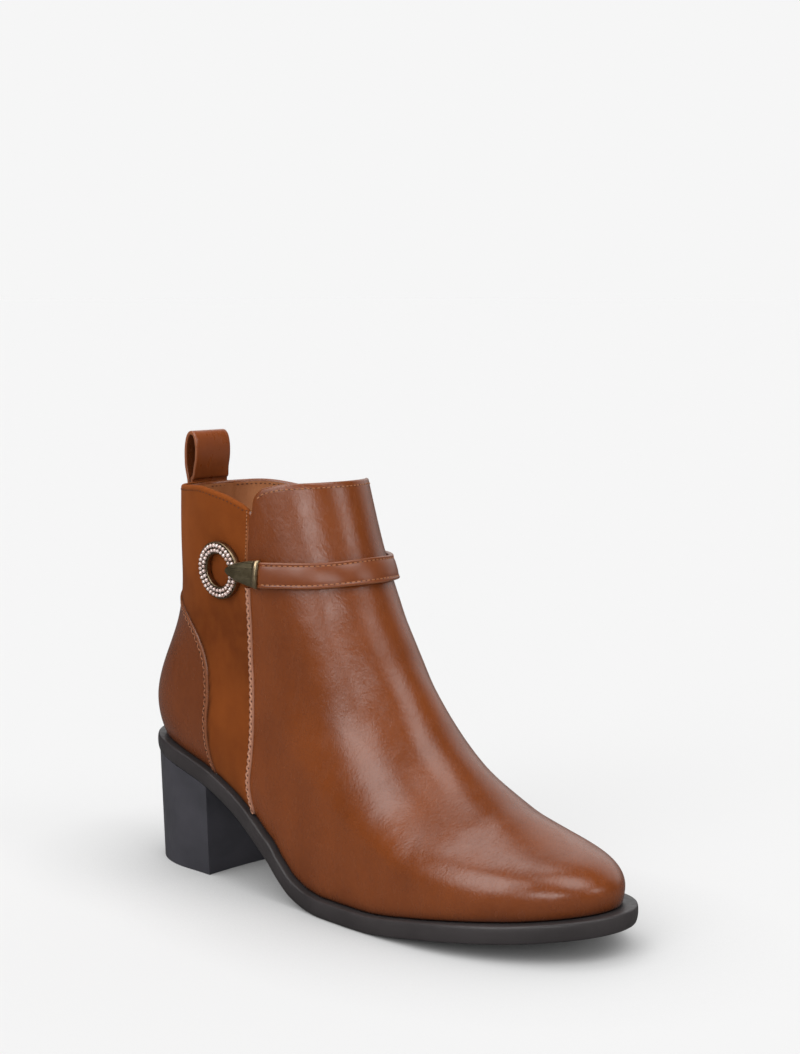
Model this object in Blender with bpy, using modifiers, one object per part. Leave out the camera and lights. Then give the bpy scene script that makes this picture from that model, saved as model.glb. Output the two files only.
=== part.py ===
"""A right-foot ankle boot: leather upper, rubber sole, block heel, strap, crystal ring and pull loop."""

import bmesh
import bpy
import numpy as np
from mathutils import Matrix, Vector

# Driving sizes, in millimetres. x runs from the back of the sole to the toe, y to the inner side, z up.
MM = 0.001
SOLE_LENGTH = 257.0
SOLE_THICKNESS = 7.6
SOLE_REAR_ROUND = 38.0
SOLE_TOE_ROUND = 64.0
WALL = 2.0
GAP = 0.3
INSOLE_THICKNESS = 3.0
INSOLE_CLEARANCE = 0.6
INSOLE_SEAT = 0.9
HEEL_BREAST = 54.5
HEEL_BREAST_HOLLOW = 1.8
HEEL_HOLLOW_POWER = 8
HEEL_BACK_ANGLE = 0.16
HEEL_TOP_INSET = 0.9
HEEL_BASE_INSET = 2.2
STRAP_WIDTH = 10.6
STRAP_THICKNESS = 2.2
STRAP_LIFT = 0.65
STRAP_RISE = 0.12
RING_OUTER = 24.6
RING_BAND = 5.2
RING_THICKNESS = 3.0
TIP_LENGTH = 18.0
TIP_WIDTH = 12.0
TIP_THICKNESS = 1.6
TIP_CLEARANCE = 0.5
TIP_ROUNDNESS = 2.4
TIP_TAPER = 0.3
LOOP_WIDTH = 19.6
LOOP_MIDDLE = 1.6
LOOP_SHEET = 1.7
LOOP_HEIGHT = 23.0
LOOP_TAIL = 13.0
LOOP_FLATNESS = 0.9
LOOP_FLAT_FROM = 0.4

# How finely the curved pieces are divided
SIDE_STATIONS = 30
RING_LEVELS = 22
SOLE_STATIONS = 56
INSOLE_STATIONS = 48
HEEL_STATIONS = 12
HEEL_ACROSS = 7
STRAP_STATIONS = 30
STRAP_ROWS = 4
STRAP_SETTLING = 12
LOOP_STATIONS = 7
LOOP_SAMPLES = 37
RING_SEGMENTS = (36, 10)
TIP_STATIONS = 9
HALVINGS = 40

# Underside of the sole from the side: heel seat, arch, flat tread and toe spring
SOLE_PROFILE = {
    "x": (0, 22, 47, 72, 97, 106, 115, 124, 134, 161, 172, 184, 200, 215, 228, 244, 257),
    "z": (50.8, 49, 43, 33.2, 17, 9.4, 3.7, 0.9, 0, 0, 0.9, 2.4, 4.4, 6.1, 7.5, 9.5, 11),
}
# Plan of the sole: its middle line, towards the inner side, and its half width before the ends round off
SOLE_PLAN = {
    "x": (0, 47, 72, 97, 117, 132, 147, 162, 177, 192, 207, 222, 257),
    "middle": (0, -0.2, -1.7, -4, -5.2, -5.2, -3.9, -1.6, 0.5, 2.4, 4.1, 5.6, 8.6),
    "half": (31.2, 31.2, 31.2, 31.3, 32, 33.9, 36.4, 39.2, 41.2, 41.8, 41.8, 41.8, 41.8),
}
# Edge of the sole: how far in from the widest line, and how high as a share of its thickness
SOLE_EDGE = {
    "inset": (2.4, 0.7, 0.0, 0.9, 1.6),
    "share": (0.0, 0.14, 0.36, 0.86, 1.0),
}
# Upper, one row for each ring from the sole to the collar. Each ring runs from a point on the back seam to one
# on the ridge of the toe, vamp or instep, each so far above the sole there. The two rounds are the lengths over
# which its ends close. Follow is how far the ring keeps to the slope of the sole, and swing to that of the toe.
UPPER_RINGS = {
    "ring": ("feather", "wall", "crown", "vamp", "ball", "instep", "throat", "ankle", "collar"),
    "back_x": (4.2, 2.4, 2, 4.8, 10.8, 17.2, 20.2, 20.2, 21.4),
    "back_lift": (0.45, 7.5, 17.5, 29.5, 43, 58, 74.5, 93, 113),
    "front_x": (250.8, 251.8, 244, 224, 194, 166.5, 148.5, 129.5, 114.5),
    "front_lift": (0.45, 8.6, 18, 25.2, 40.5, 67, 94, 126.5, 164),
    "rear_half": (27.4, 29.9, 31.7, 32, 31.4, 30.7, 31, 32.5, 33.8),
    "ball_half": (38, 39.4, 40, 39.5, 38.5, 36, 33, 32, 33),
    "rear_round": (36, 36, 36, 37, 37, 38, 39, 41, 43),
    "front_round": (64, 63, 66, 76, 86, 80, 60, 48, 45),
    "follow": (1, 1, 0.9, 0.7, 0.45, 0.25, 0.1, 0, 0),
    "swing": (0, 0.2, 0.5, 0.8, 1, 1, 0.8, 0.4, 0),
}
TOE_SWING = 8.0
TOE_SWING_FROM = 90.0
# The rings between which the upper leaves the curve of the sole's middle line
STRAIGHTENING_RINGS = (2, 6)
# Where the upper widens from the heel to the ball, above the sole's own waist
FOOT_SPREAD = (55, 165)
# How far the collar dips between its back and its front on each side, and the ring the dips start from
COLLAR_DIP_FROM = 6.6
COLLAR_DIP = {"side": ("outer", "inner"), "middle_x": (78, 62), "reach": (24, 32), "depth": (4.2, 4.8)}
# The strap's middle line on the upper, by height at each place along the boot
STRAP_LINE = {"x": (60, 95, 118, 127), "z": (138.6, 138.8, 139, 140.3)}
ANKLE_CENTRE = (70, 0, 138)
FOOT_CENTRE = (100, 0, 80)
STRAP_OUTER_END = 95.5
STRAP_INNER_END = 86.0
RING_CENTRE = (70.6, 138.8)
RING_STAND_OFF = 2.1
TIP_POINT = (77.8, 140.0, 5.5)
TIP_BLUNT_LIFT = 2.6
# Folded strip of the pull loop: distance out from the back of the collar, and height above the collar
LOOP_PATH = {
    "out": (1.25, 1.25, -0.7, -3.0, -3.5, -2.4, -0.1, 2.2, 3.6, 3.8, 3.4, 3.25, 3.25),
    "rise": (-1, 0.0, 0.17, 0.45, 0.72, 0.93, 1.0, 0.93, 0.72, 0.45, 0.17, 0.0, -1),
}


# Curves through table columns
def smooth(table_x, table_y, x):
    """A curve through the points that never overshoots between them."""
    table_x = np.asarray(table_x, float)
    table_y = np.asarray(table_y, float)
    step = np.diff(table_x)
    slope = np.diff(table_y) / step
    tangent = np.zeros(len(table_x))
    tangent[0] = slope[0]
    tangent[-1] = slope[-1]
    product = slope[:-1] * slope[1:]
    total = slope[:-1] + slope[1:]
    tangent[1:-1] = np.where(product > 0, 2 * product / np.where(total == 0, 1, total), 0)
    x = np.clip(x, table_x[0], table_x[-1])
    i = np.clip(np.searchsorted(table_x, x, side="right") - 1, 0, len(step) - 1)
    u = (x - table_x[i]) / step[i]
    rise = table_y[i] * (1 + 2 * u) * (1 - u) ** 2 + table_y[i + 1] * u * u * (3 - 2 * u)
    return rise + step[i] * (tangent[i] * u * (1 - u) ** 2 - tangent[i + 1] * u * u * (1 - u))


def flowing(points, samples):
    """A rounded curve through the points, as evenly numbered samples."""
    points = np.asarray(points, float)
    ends = np.vstack([2 * points[0] - points[1], points, 2 * points[-1] - points[-2]])
    place = np.linspace(0, len(points) - 1, samples)
    i = np.minimum(place.astype(int), len(points) - 2)
    u = (place - i)[:, None]
    a, b, c, d = ends[i], ends[i + 1], ends[i + 2], ends[i + 3]
    return 0.5 * (2 * b + (c - a) * u + (2 * a - 5 * b + 4 * c - d) * u**2 + (3 * b - a - 3 * c + d) * u**3)


def quarter_round(u):
    """Rises from 0 to 1 as a quarter circle does, and stays there."""
    return np.sqrt(1 - (1 - np.clip(u, 0, 1)) ** 2)


def ease(x, start, end):
    u = np.clip((x - start) / (end - start), 0, 1)
    return u * u * (3 - 2 * u)


def sole_under(x):
    return smooth(SOLE_PROFILE["x"], SOLE_PROFILE["z"], x)


def sole_top(x):
    """Top of the sole, whose thickness is measured square to its slope."""
    slope = (sole_under(x + 1) - sole_under(x - 1)) / 2
    return sole_under(x) + SOLE_THICKNESS * np.sqrt(1 + slope**2)


def sole_middle(x):
    return smooth(SOLE_PLAN["x"], SOLE_PLAN["middle"], x)


def sole_half(x, inset):
    """Half width of the sole's outline moved in by inset all round."""
    rear = quarter_round((x - inset) / (SOLE_REAR_ROUND - inset))
    toe = quarter_round((SOLE_LENGTH - inset - x) / (SOLE_TOE_ROUND - inset))
    return (smooth(SOLE_PLAN["x"], SOLE_PLAN["half"], x) - inset) * rear * toe


def cosine_stations(start, end, count):
    """Places from start to end, closer together towards both ends."""
    return start + (end - start) * (1 - np.cos(np.linspace(0, np.pi, count))) / 2


# The surface of the upper
def ring_column(name, h):
    rows = UPPER_RINGS[name]
    return smooth(np.arange(len(rows)), rows, h)


TOP_RING = len(UPPER_RINGS["ring"]) - 1
LOWEST_SEARCHED_RING = UPPER_RINGS["ring"].index("crown")


def collar_dip(x, side):
    depth = 0.0
    for row, sign in enumerate((-1, 1)):
        away = np.abs(x - COLLAR_DIP["middle_x"][row]) / COLLAR_DIP["reach"][row]
        depth = depth + np.where(side == sign, COLLAR_DIP["depth"][row] * (1 - ease(away, 0, 1)), 0)
    return depth


def skin(h, t):
    """Outer face of the upper. h counts rings from the sole to the collar. t goes 0 to 1 from the back seam along
    the outer side to the ridge, and 1 to 2 back along the inner side."""
    h, t = np.broadcast_arrays(np.asarray(h, float), np.mod(t, 2.0))
    side = np.where(t <= 1, -1.0, 1.0)
    along = np.where(t <= 1, t, 2 - t)
    back_x, front_x = ring_column("back_x", h), ring_column("front_x", h)
    back_lift, front_lift = ring_column("back_lift", h), ring_column("front_lift", h)
    back_z, front_z = sole_top(back_x) + back_lift, sole_top(front_x) + front_lift
    share = (1 - np.cos(np.pi * along)) / 2
    x = back_x + (front_x - back_x) * share
    level = back_z + (front_z - back_z) * share
    lift = back_lift + (front_lift - back_lift) * share
    follow = ring_column("follow", h)
    dip = collar_dip(x, side) * ease(h, COLLAR_DIP_FROM, TOP_RING)
    z = follow * (sole_top(x) + lift) + (1 - follow) * level - dip
    rear_half, ball_half = ring_column("rear_half", h), ring_column("ball_half", h)
    sole_spread = smooth(SOLE_PLAN["x"], SOLE_PLAN["half"], x) - SOLE_PLAN["half"][0]
    sole_spread = sole_spread / (SOLE_PLAN["half"][-1] - SOLE_PLAN["half"][0])
    half = rear_half + (ball_half - rear_half) * (follow * sole_spread + (1 - follow) * ease(x, *FOOT_SPREAD))
    half = half * quarter_round((x - back_x) / ring_column("rear_round", h))
    half = half * quarter_round((front_x - x) / ring_column("front_round", h))
    swing = ring_column("swing", h)
    middle = (1 - swing) * sole_middle(x) * (1 - ease(h, *STRAIGHTENING_RINGS))
    middle = middle + swing * TOE_SWING * ease(x, TOE_SWING_FROM, SOLE_LENGTH)
    return np.stack([x, middle + side * half, z], axis=-1)


def skin_normal(h, t):
    """Outward direction of the upper's outer face."""
    small = 0.004
    up = skin(np.minimum(h + small, TOP_RING), t) - skin(np.maximum(h - small, 0), t)
    around = skin(h, t + small) - skin(h, t - small)
    normal = np.cross(around, up)
    return normal / np.linalg.norm(normal, axis=-1, keepdims=True)


def ring_at_height(t, z):
    """The h at which the upper reaches the height z, for each t."""
    low = np.full(np.shape(t), float(LOWEST_SEARCHED_RING))
    high = np.full(np.shape(t), float(TOP_RING))
    for _ in range(HALVINGS):
        middle = (low + high) / 2
        under = skin(middle, t)[..., 2] < z
        low = np.where(under, middle, low)
        high = np.where(under, high, middle)
    return (low + high) / 2


def outer_place(x, z):
    """(h, t) of the point on the outer side at this length and height."""
    low, high = 0.02, 0.98
    for _ in range(HALVINGS):
        t = (low + high) / 2
        h = float(ring_at_height(np.array(t), z))
        if skin(h, t)[0] < x:
            low = t
        else:
            high = t
    return h, t


# Meshes and objects
def material(name, colour, roughness, metallic=0.0):
    made = bpy.data.materials.new(name)
    made.use_nodes = True
    shader = made.node_tree.nodes["Principled BSDF"]
    shader.inputs["Base Color"].default_value = (*colour, 1)
    shader.inputs["Roughness"].default_value = roughness
    shader.inputs["Metallic"].default_value = metallic
    return made


def frame_origin():
    """Middle of the boot's box on the floor, which the sole's outline sets."""
    x = cosine_stations(0, SOLE_LENGTH, 400)
    inner = (sole_middle(x) + sole_half(x, 0)).max()
    outer = (sole_middle(x) - sole_half(x, 0)).min()
    return np.array([SOLE_LENGTH / 2, (inner + outer) / 2, 0])


ORIGIN = frame_origin()


def to_world(points):
    return (np.asarray(points, float) - ORIGIN) * MM


def add_object(name, mesh, finish, collection):
    made = bpy.data.objects.new(name, mesh)
    made.data.materials.append(finish)
    collection.objects.link(made)
    return made


def grid_mesh(name, rows, wrap):
    """Quads between rows of points. With wrap, each row closes on itself."""
    mesh = bmesh.new()
    vertices = [[mesh.verts.new(point) for point in row] for row in to_world(rows)]
    count = len(vertices[0])
    for lower, upper in zip(vertices, vertices[1:]):
        for i in range(count if wrap else count - 1):
            j = (i + 1) % count
            mesh.faces.new((lower[i], lower[j], upper[j], upper[i]))
    return finish_mesh(mesh, name)


def outline_loft(name, rings):
    """A solid between rings that run from the back tip along the outer side to the front tip and back."""
    mesh = bmesh.new()
    vertices = [[mesh.verts.new(point) for point in ring] for ring in to_world(rings)]
    count = len(vertices[0])
    for lower, upper in zip(vertices, vertices[1:]):
        for i in range(count):
            j = (i + 1) % count
            mesh.faces.new((lower[i], lower[j], upper[j], upper[i]))
    for ring, turn in ((vertices[0], -1), (vertices[-1], 1)):
        for i in range(count // 2):
            corners = [ring[i], ring[i + 1], ring[-i - 1], ring[-i]]
            corners = list(dict.fromkeys(corners))
            mesh.faces.new(corners[::turn])
    return finish_mesh(mesh, name)


def finish_mesh(mesh, name):
    bmesh.ops.recalc_face_normals(mesh, faces=mesh.faces)
    data = bpy.data.meshes.new(name)
    mesh.to_mesh(data)
    mesh.free()
    data.shade_smooth()
    return data


def thicken(made, thickness, offset):
    modifier = made.modifiers.new("Wall", "SOLIDIFY")
    modifier.thickness = thickness * MM
    modifier.offset = offset
    modifier.use_even_offset = True


def point_outwards(data, outward):
    """Turns the faces of an open sheet round where they don't point along outward."""
    total = sum(polygon.normal.dot(outward(polygon.center)) for polygon in data.polygons)
    if total < 0:
        data.flip_normals()


# The pieces
def sole_ring(inset, share):
    x = cosine_stations(inset, SOLE_LENGTH - inset, SOLE_STATIONS + 1)
    z = sole_under(x) + share * (sole_top(x) - sole_under(x))
    outer = np.stack([x, sole_middle(x) - sole_half(x, inset), z], axis=-1)
    inner = np.stack([x, sole_middle(x) + sole_half(x, inset), z], axis=-1)
    return np.vstack([outer, inner[-2:0:-1]])


def make_outsole(collection):
    rings = [sole_ring(inset, share) for inset, share in zip(SOLE_EDGE["inset"], SOLE_EDGE["share"])]
    finish = material("black_rubber", (0.035, 0.033, 0.033), 0.5)
    add_object("outsole", outline_loft("outsole", rings), finish, collection)


def insole_ring(height):
    """The upper's lowest ring moved in through the wall, so far above the sole."""
    around = np.arange(2 * INSOLE_STATIONS) / INSOLE_STATIONS
    ring = skin(0, around)[:, :2]
    along = np.roll(ring, -1, axis=0) - np.roll(ring, 1, axis=0)
    inward = np.stack([-along[:, 1], along[:, 0]], axis=-1) / np.linalg.norm(along, axis=1, keepdims=True)
    plan = ring + inward * (WALL + INSOLE_CLEARANCE)
    return np.column_stack([plan, sole_top(plan[:, 0]) + height])


def make_insole(collection):
    finish = material("sock_lining", (0.55, 0.33, 0.17), 0.8)
    rings = [insole_ring(INSOLE_SEAT), insole_ring(INSOLE_SEAT + INSOLE_THICKNESS)]
    add_object("insole", outline_loft("insole", rings), finish, collection)


def make_heel_block(collection):
    """Sections across the heel, from its back to its breast, between the floor and the sole."""
    mesh = bmesh.new()
    across = np.linspace(-1, 1, HEEL_ACROSS)
    sections = []
    for u in 1 - np.cos(np.linspace(HEEL_BACK_ANGLE, np.pi / 2, HEEL_STATIONS)):
        rows = []
        for inset, at_top in ((HEEL_BASE_INSET, False), (HEEL_TOP_INSET, True)):
            x = inset + (HEEL_BREAST - inset) * u
            half = sole_half(x, inset)
            hollow = HEEL_BREAST_HOLLOW * (1 - across**2) * u**HEEL_HOLLOW_POWER
            row_x = x - hollow
            height = sole_under(row_x) - GAP if at_top else np.zeros(HEEL_ACROSS)
            rows.append(np.stack([row_x, sole_middle(x) + across * half, height], axis=-1))
        ring = to_world(np.vstack([rows[0], rows[1][::-1]]))
        sections.append([mesh.verts.new(point) for point in ring])
    count = len(sections[0])
    for rear, front in zip(sections, sections[1:]):
        for i in range(count):
            j = (i + 1) % count
            mesh.faces.new((rear[i], rear[j], front[j], front[i]))
    for end in (sections[0], sections[-1]):
        for i in range(HEEL_ACROSS - 1):
            mesh.faces.new((end[i], end[i + 1], end[-i - 2], end[-i - 1]))
    finish = material("black_heel", (0.03, 0.03, 0.035), 0.4)
    add_object("heel_block", finish_mesh(mesh, "heel_block"), finish, collection)


def make_upper(collection):
    levels = np.linspace(0, TOP_RING, RING_LEVELS)
    around = np.arange(2 * SIDE_STATIONS) / SIDE_STATIONS
    rows = [skin(np.full(len(around), h), around) for h in levels]
    data = grid_mesh("upper", rows, wrap=True)
    middle = Vector(to_world(FOOT_CENTRE))
    point_outwards(data, lambda centre: centre - middle)
    finish = material("tan_leather", (0.22, 0.065, 0.015), 0.4)
    thicken(add_object("upper", data, finish, collection), WALL, -1)


def strap_height(x):
    return smooth(STRAP_LINE["x"], STRAP_LINE["z"], x)


def make_strap(collection):
    """A band laid on the upper from the ring, round the front of the ankle, to the inner side."""
    rows = []
    for offset in np.linspace(-STRAP_WIDTH / 2, STRAP_WIDTH / 2, STRAP_ROWS):
        outer_end = outer_place(STRAP_OUTER_END, strap_height(STRAP_OUTER_END) + offset)[1]
        inner_end = outer_place(STRAP_INNER_END, strap_height(STRAP_INNER_END) + offset)[1]
        share = np.linspace(0, 1, STRAP_STATIONS)
        around = outer_end + (2 - inner_end - outer_end) * share
        height = np.full(len(around), strap_height(STRAP_OUTER_END))
        for _ in range(STRAP_SETTLING):
            h = ring_at_height(around, height)
            height = strap_height(skin(h, around)[:, 0]) + offset
        lift = STRAP_LIFT + (TIP_BLUNT_LIFT - STRAP_LIFT) * (1 - ease(share, 0, STRAP_RISE))
        rows.append(skin(h, around) + skin_normal(h, around) * lift[:, None])
    data = grid_mesh("ankle_strap", rows, wrap=False)
    middle = Vector(to_world(ANKLE_CENTRE))
    point_outwards(data, lambda centre: centre - middle)
    finish = material("strap_leather", (0.22, 0.065, 0.015), 0.4)
    thicken(add_object("ankle_strap", data, finish, collection), STRAP_THICKNESS, 1)


def plate_frame(origin, forward, outward):
    """A placing matrix with its x axis along forward and its z axis as near outward as that allows."""
    forward = Vector(forward).normalized()
    outward = Vector(outward)
    outward = (outward - forward * outward.dot(forward)).normalized()
    sideways = outward.cross(forward)
    matrix = Matrix((forward, sideways, outward)).transposed().to_4x4()
    matrix.translation = Vector(to_world(origin))
    return matrix


def make_ring(collection):
    h, t = outer_place(*RING_CENTRE)
    normal = skin_normal(h, t)
    minor = RING_BAND / 2
    flatten = Matrix.Diagonal((1, 1, RING_THICKNESS / RING_BAND, 1))
    bpy.ops.mesh.primitive_torus_add(
        major_segments=RING_SEGMENTS[0],
        minor_segments=RING_SEGMENTS[1],
        major_radius=(RING_OUTER / 2 - minor) * MM,
        minor_radius=minor * MM,
    )
    made = bpy.context.object
    made.name = made.data.name = "buckle_ring"
    for holder in list(made.users_collection):
        holder.objects.unlink(made)
    collection.objects.link(made)
    made.data.transform(flatten)
    made.matrix_world = plate_frame(skin(h, t) + normal * RING_STAND_OFF, (1, 0, 0), normal)
    made.data.shade_smooth()
    made.data.materials.append(material("ring_metal", (0.75, 0.55, 0.45), 0.3, 1.0))


def make_tip(collection):
    """A pointed metal plate from the strap's end to over the ring."""
    blunt_h, blunt_t = outer_place(STRAP_OUTER_END, strap_height(STRAP_OUTER_END))
    normal = skin_normal(blunt_h, blunt_t)
    blunt = skin(blunt_h, blunt_t) + normal * (TIP_BLUNT_LIFT + STRAP_THICKNESS / 2)
    point_h, point_t = outer_place(*TIP_POINT[:2])
    point = skin(point_h, point_t) + skin_normal(point_h, point_t) * TIP_POINT[2]
    curve = bpy.data.curves.new("strap_tip", "CURVE")
    curve.dimensions = "2D"
    curve.fill_mode = "BOTH"
    curve.extrude = TIP_THICKNESS / 2 * MM
    half_width = TIP_WIDTH / 2
    run = np.linspace(0, 1, TIP_STATIONS)
    bow = half_width * np.sqrt(1 - run**TIP_ROUNDNESS) * (1 - TIP_TAPER * run)
    reach = TIP_CLEARANCE + run * (TIP_LENGTH - TIP_CLEARANCE)
    outline = list(zip(reach, bow)) + list(zip(reach, -bow))[-2::-1]
    spline = curve.splines.new("POLY")
    spline.points.add(len(outline) - 1)
    for corner, (x, y) in zip(spline.points, outline):
        corner.co = (x * MM, y * MM, 0, 1)
    spline.use_cyclic_u = True
    made = add_object("strap_tip", curve, material("aged_brass", (0.35, 0.27, 0.14), 0.35, 1.0), collection)
    made.matrix_world = plate_frame(blunt, point - blunt, normal)


def make_pull_loop(collection):
    """A strip folded over into a loop, its two ends lying on the back of the upper."""
    path = flowing(np.stack([LOOP_PATH["out"], LOOP_PATH["rise"]], axis=-1), LOOP_SAMPLES)
    rows = []
    for y in LOOP_MIDDLE + np.linspace(-LOOP_WIDTH / 2, LOOP_WIDTH / 2, LOOP_STATIONS):
        row = []
        for out, rise in path:
            height = rise * (LOOP_HEIGHT if rise > 0 else LOOP_TAIL)
            h = TOP_RING + min(height, 0) / (UPPER_RINGS["back_lift"][-1] - UPPER_RINGS["back_lift"][-2])
            half, rounding = ring_column("rear_half", h), ring_column("rear_round", h)
            sagitta = rounding * (1 - np.sqrt(1 - (y / half) ** 2))
            bow = 1 - LOOP_FLATNESS * ease(rise, 0, LOOP_FLAT_FROM)
            x = ring_column("back_x", h) + sagitta * bow - out
            row.append((x, y, skin(TOP_RING, 0)[2] + height))
        rows.append(row)
    data = grid_mesh("pull_loop", rows, wrap=False)
    made = add_object("pull_loop", data, material("loop_leather", (0.16, 0.045, 0.012), 0.4), collection)
    thicken(made, LOOP_SHEET, 0)


def main():
    for old in list(bpy.data.objects):
        bpy.data.objects.remove(old, do_unlink=True)
    boot = bpy.data.collections.new("ankle_boot")
    bpy.context.scene.collection.children.link(boot)
    make_outsole(boot)
    make_heel_block(boot)
    make_upper(boot)
    make_insole(boot)
    make_strap(boot)
    make_ring(boot)
    make_tip(boot)
    make_pull_loop(boot)


main()
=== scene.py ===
"""Looks of a right-foot ankle boot: leather, suede, stitching, crystal ring, metal tip, sole and heel."""

import math
from functools import partial

import bmesh
import bpy
import numpy as np
from mathutils import Matrix, Vector


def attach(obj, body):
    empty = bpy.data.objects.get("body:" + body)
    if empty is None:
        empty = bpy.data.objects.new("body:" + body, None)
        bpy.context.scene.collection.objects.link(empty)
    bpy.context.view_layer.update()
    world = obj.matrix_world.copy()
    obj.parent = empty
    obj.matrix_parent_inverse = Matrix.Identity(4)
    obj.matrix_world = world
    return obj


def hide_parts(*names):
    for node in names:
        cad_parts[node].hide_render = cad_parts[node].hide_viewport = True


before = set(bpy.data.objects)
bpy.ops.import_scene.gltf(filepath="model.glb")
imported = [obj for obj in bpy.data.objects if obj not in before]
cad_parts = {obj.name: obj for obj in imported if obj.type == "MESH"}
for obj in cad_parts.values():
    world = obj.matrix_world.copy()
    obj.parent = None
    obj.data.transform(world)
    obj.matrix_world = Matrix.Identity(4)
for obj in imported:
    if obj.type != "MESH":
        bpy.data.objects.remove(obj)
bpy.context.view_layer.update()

# Sizes of the boot, in millimetres. x runs from the back of the sole to the toe, y to the inner side, z up.
MM = 0.001
MERGE_DISTANCE = 0.001 * MM
SOLE_LENGTH = 257.0
SOLE_THICKNESS = 7.6
SOLE_REAR_ROUND = 38.0
SOLE_TOE_ROUND = 64.0
WALL = 2.0
INSOLE_SEAT = 0.9
INSOLE_THICKNESS = 3.0
INSOLE_CLEARANCE = 0.6
HEEL_BREAST = 54.5
HEEL_BREAST_HOLLOW = 1.8
HEEL_HOLLOW_POWER = 8
HEEL_TOP_INSET = 0.9
HEEL_BASE_INSET = 2.2
STRAP_WIDTH = 10.6
STRAP_LIFT = 0.65
STRAP_RISE = 0.12
STRAP_THICKNESS = 2.2
STRAP_OUTER_END = 95.5
STRAP_INNER_END = 86.0
RING_CENTRE = (70.6, 138.8)
RING_STAND_OFF = 2.1
TIP_LENGTH = 18.0
TIP_WIDTH = 12.0
TIP_THICKNESS = 1.6
TIP_CLEARANCE = 0.5
TIP_ROUNDNESS = 2.4
TIP_TAPER = 0.3
TIP_POINT = (77.8, 140.0, 5.5)
TIP_BLUNT_LIFT = 2.6
LOOP_WIDTH = 19.6
LOOP_MIDDLE = 1.6
LOOP_SHEET = 1.7
LOOP_HEIGHT = 23.0
LOOP_TAIL = 13.0
LOOP_FLATNESS = 0.9
LOOP_FLAT_FROM = 0.4

# Underside of the sole from the side
SOLE_PROFILE = {
    "x": (0, 22, 47, 72, 97, 106, 115, 124, 134, 161, 172, 184, 200, 215, 228, 244, 257),
    "z": (50.8, 49, 43, 33.2, 17, 9.4, 3.7, 0.9, 0, 0, 0.9, 2.4, 4.4, 6.1, 7.5, 9.5, 11),
}
# Plan of the sole: its middle line and its half width before the ends round off
SOLE_PLAN = {
    "x": (0, 47, 72, 97, 117, 132, 147, 162, 177, 192, 207, 222, 257),
    "middle": (0, -0.2, -1.7, -4, -5.2, -5.2, -3.9, -1.6, 0.5, 2.4, 4.1, 5.6, 8.6),
    "half": (31.2, 31.2, 31.2, 31.3, 32, 33.9, 36.4, 39.2, 41.2, 41.8, 41.8, 41.8, 41.8),
}
# Edge of the sole from its tread, round the wall, to the ledge under the upper
SOLE_EDGE = {
    "inset": (9, 4, 2, 1.2, 0.8, 0.55, 0.4, 0.15, 0.0, 0.0, 0.1, 0.25, 0.4, 0.65, 1.1, 1.8, 3.5, 9),
    "share": (0, 0, 0, 0.015, 0.04, 0.08, 0.14, 0.28, 0.45, 0.65, 0.82, 0.9, 0.945, 0.975, 0.99, 1, 1, 1),
}
# Rings of the upper from the sole to the collar, as in the solid upper
UPPER_RINGS = {
    "ring": ("feather", "wall", "crown", "vamp", "ball", "instep", "throat", "ankle", "collar"),
    "back_x": (4.2, 2.4, 2, 4.8, 10.8, 17.2, 20.2, 20.2, 21.4),
    "back_lift": (0.45, 7.5, 17.5, 29.5, 43, 58, 74.5, 93, 113),
    "front_x": (250.8, 251.8, 244, 224, 194, 166.5, 148.5, 129.5, 114.5),
    "front_lift": (0.45, 8.6, 18, 25.2, 40.5, 67, 94, 126.5, 164),
    "rear_half": (27.4, 29.9, 31.7, 32, 31.4, 30.7, 31, 32.5, 33.8),
    "ball_half": (38, 39.4, 40, 39.5, 38.5, 36, 33, 32, 33),
    "rear_round": (36, 36, 36, 37, 37, 38, 39, 41, 43),
    "front_round": (64, 63, 66, 76, 86, 80, 60, 48, 45),
    "follow": (1, 1, 0.9, 0.7, 0.45, 0.25, 0.1, 0, 0),
    "swing": (0, 0.2, 0.5, 0.8, 1, 1, 0.8, 0.4, 0),
}
TOP_RING = len(UPPER_RINGS["ring"]) - 1
LOWEST_SEARCHED_RING = UPPER_RINGS["ring"].index("crown")
HALVINGS = 32
# How the outer side is searched for a place: grid, its range around, later steps, and limits around
SEARCH_GRID = (81, 95)
SEARCH_RANGE = (0.03, 0.97)
SEARCH_STEPS = 12
SEARCH_LIMITS = (0.01, 0.99)
OUTLINE_SAMPLES = 400
CREASE_SAMPLES = 40
COLLAR_SAMPLES = 2001
# Flat chart of the upper: its cells up and around, the millimetres in its unit, and its margin in cells
CHART_CELLS = (40, 200)
CHART_UNIT = 100
CHART_MARGIN = 0.001
TOE_SWING = 8.0
TOE_SWING_FROM = 90.0
STRAIGHTENING_RINGS = (2, 6)
# How finely the columns of the rings are sampled, and over how many rings their corners are eased
RING_SAMPLES = 4001
RING_SOFTNESS = 1.0
FOOT_SPREAD = (55, 165)
COLLAR_DIP_FROM = 6.6
COLLAR_DIP = {"side": ("outer", "inner"), "middle_x": (78, 62), "reach": (24, 32), "depth": (4.2, 4.8)}
STRAP_LINE = {"x": (60, 95, 118, 127), "z": (138.6, 138.8, 139, 140.3)}
# Folded strip of the pull loop: distance out from the back of the collar, and height above the collar
LOOP_PATH = {
    "out": (1.25, 1.25, -0.7, -3.0, -3.5, -2.4, -0.1, 2.2, 3.6, 3.8, 3.4, 3.25, 3.25),
    "rise": (-1, 0.0, 0.17, 0.45, 0.72, 0.93, 1.0, 0.93, 0.72, 0.45, 0.17, 0.0, -1),
}

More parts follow.
